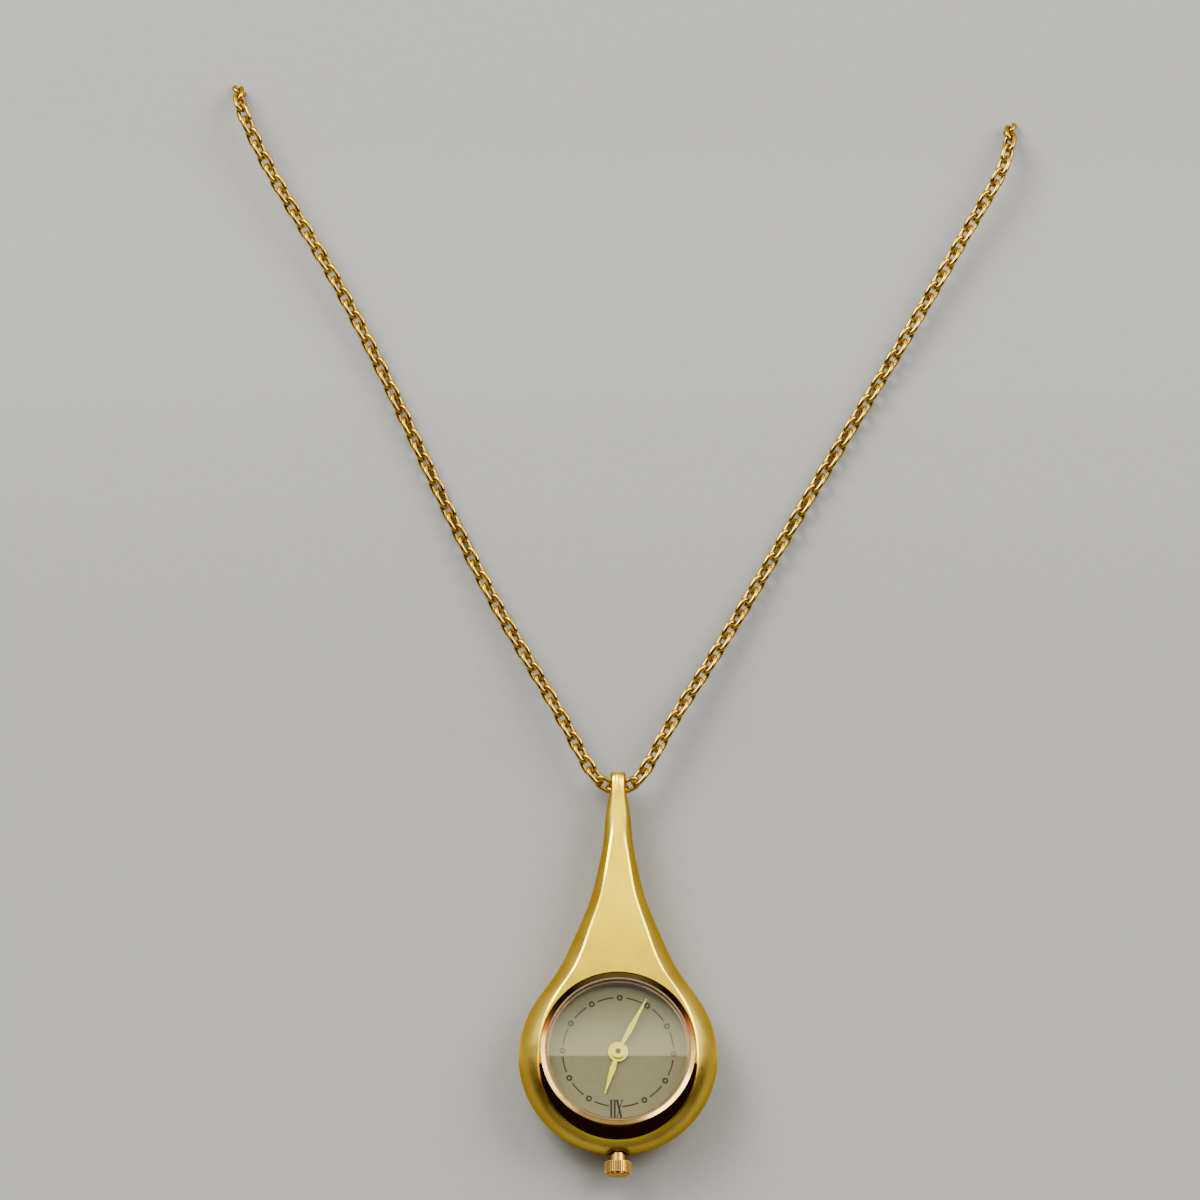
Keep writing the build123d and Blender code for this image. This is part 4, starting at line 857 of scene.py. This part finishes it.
# World: a soft studio, bright above, dark in front where the camera stands and lit again behind
def studio_light(sky, direction):
    """Strength and colour of the light from a direction."""
    side, depth, height = (sky.part(direction, axis) for axis in range(3))
    front = 1 - depth.over(-0.35, 0.25)
    behind = depth.over(0.05, 0.4)
    above = height.over(0.196, 0.22)
    dark = (1 - height.over(0.06, 0.12)) * height.over(-0.6, -0.42) * front
    # A thin bright band: the crystal shows its lower edge as a line across the dial
    window = height.over(0.19326, 0.19332) * (1 - height.over(0.1934, 0.1951)) * front
    to_side = side.math("ABSOLUTE")
    panels = to_side.over(0.32, 0.44) * (1 - to_side.over(0.70, 0.90)) * front * height.over(-0.2, 0.0)
    front_light = front * (above * (2.7 - height.over(0.3, 0.55) * 1.9) + 0.33)
    back_light = behind * (height.over(-0.2, 0.5) * 0.7 + 0.45)
    level = 0.1 + front_light + back_light + window * 3.0 + panels * 2.4
    strength = level * (1 - dark * (1 - panels) * 0.97)
    plain_colour = sky.mix(window, tone(1.0, 0.98, 0.94), tone(1.0, 0.96, 0.6))
    return strength, sky.mix(dark.over(0.96, 1.0), plain_colour, tone(0.9, 0.33, 0.3))


world = bpy.data.worlds.new("studio")
bpy.context.scene.world = world
world.use_nodes = True
sky = Nodes(world.node_tree)
background = sky.tree.nodes["Background"]
strength, colour = studio_light(sky, sky.make("ShaderNodeTexCoord", out="Generated"))
is_camera = sky.make("ShaderNodeLightPath", out="Is Camera Ray")
sky.feed(background.inputs["Color"], sky.mix(is_camera, colour, tone(0.86, 0.86, 0.84)))
sky.feed(background.inputs["Strength"], strength * (1 - is_camera) + is_camera)


def area_light(name, place, width, power):
    """A square lamp that faces the watch."""
    data = bpy.data.lights.new(name, "AREA")
    data.size = width
    data.energy = power
    lamp = bpy.data.objects.new(name, data)
    lamp.location = place
    lamp.rotation_mode = "QUATERNION"
    lamp.rotation_quaternion = (place_at(0, 0, 0) - Vector(place)).to_track_quat("-Z", "Y")
    bpy.context.scene.collection.objects.link(lamp)


area_light("key", (-0.35, -0.45, 0.35), 0.35, 6.0)
area_light("fill", (0.45, -0.4, 0.1), 0.4, 3.0)

# Backdrop: one pale card just behind the watch, lit from the front and clear from behind
card_paint = Paint("card_pale", Roughness=0.9)
speckle = card_paint.noise(900.0, 6.0)
card_paint.set(Base_Color=card_paint.mix(speckle, tone(0.26, 0.265, 0.25), tone(0.29, 0.295, 0.28)))
card_paint.bump(speckle, 0.3, 0.15 * MM)
DISC_RADIUS = 12.3
# The neck's half-width is 8 mm at 11.3 mm above the dial's middle, and shrinks by e every 10 mm
NECK_FROM, NECK_HALF_WIDTH, NECK_SHRINK, NECK_TOP = 11.3, 8, 10, 35.0


def case_outline(paint):
    """1 inside the case's outline and 0 outside it: a disc, and a neck that narrows upwards."""
    x, up = paint.part(paint.coords, 0).math("ABSOLUTE") / MM, paint.place(2) - DIAL_Z
    disc = (x * x + up * up).math("LESS_THAN", DISC_RADIUS**2)
    half_width = ((NECK_FROM - up) / NECK_SHRINK).math("EXPONENT") * NECK_HALF_WIDTH
    neck = x.math("LESS_THAN", half_width) * up.math("GREATER_THAN", 0.0) * up.math("LESS_THAN", NECK_TOP)
    return disc.math("MAXIMUM", neck)


# Behind the case it is clear to all but the camera, so that the case's back has light
camera_ray = card_paint.make("ShaderNodeLightPath", out="Is Camera Ray")
from_behind = card_paint.make("ShaderNodeNewGeometry", out="Backfacing")
share_clear = from_behind.math("MAXIMUM", case_outline(card_paint) * (1 - camera_ray))
opaque = Value(card_paint, card_paint.shader.outputs[0])
clear = card_paint.make("ShaderNodeBsdfTransparent")
shown = card_paint.make("ShaderNodeMixShader", share_clear, opaque, clear)
card_paint.feed(card_paint.tree.nodes["Material Output"].inputs["Surface"], shown)

CARD_DEPTH = 4.35
CARD_HALF_WIDTH = 110
CARD_BOTTOM, CARD_TOP, CARD_STEP = -175, 41, 3.0
CHAIN_GAP, CASE_GAP = 0.15, 0.2
CARD_NEAR = 4
CASE_TOP = 1.12 * BAIL_TO_DIAL
EVEN_OVER = 5
chain_points = np.concatenate(
    [
        np.array([vert.co for vert in bpy.data.objects[name].data.vertices]) / MM
        for name in ("chain_front_left_links", "chain_front_right_links")
    ]
)


def least_depth(z):
    """How far back the card has to be at a height, to stay behind chain and case."""
    near = chain_points[abs(chain_points[:, 2] - z) < CARD_NEAR]
    depth = near[:, 1].max() + CHAIN_GAP if len(near) else 0
    up = z - DIAL_Z
    if up < CASE_TOP:
        behind_case = back_depth(min(up - CARD_NEAR, BAIL_TO_DIAL)) + CASE_GAP
        depth = max(depth, CARD_DEPTH if up < BACK_FLAT else behind_case)
    return depth


heights = np.arange(CARD_BOTTOM, CARD_TOP, CARD_STEP)
chain_top = chain_points[:, 2].max()
depths = [least_depth(z) for z in heights if z <= chain_top]
depths += [depths[-1]] * (len(heights) - len(depths))
# It bends gently: at each height it is as far back as its neighbours need, and then evened out
depths = np.pad(depths, 2 * EVEN_OVER, mode="edge")
span = 2 * EVEN_OVER + 1
depths = np.lib.stride_tricks.sliding_window_view(depths, span).max(axis=1)
depths = np.lib.stride_tricks.sliding_window_view(depths, span).mean(axis=1)
builder = bmesh.new()
rows = [
    [builder.verts.new(Vector((x, depth, z)) * MM) for x in (-CARD_HALF_WIDTH, CARD_HALF_WIDTH)]
    for z, depth in zip(heights, depths)
]
for row, after in zip(rows, rows[1:]):
    builder.faces.new((row[0], row[1], after[1], after[0])).smooth = True
made_object("card", builder, [card_paint])
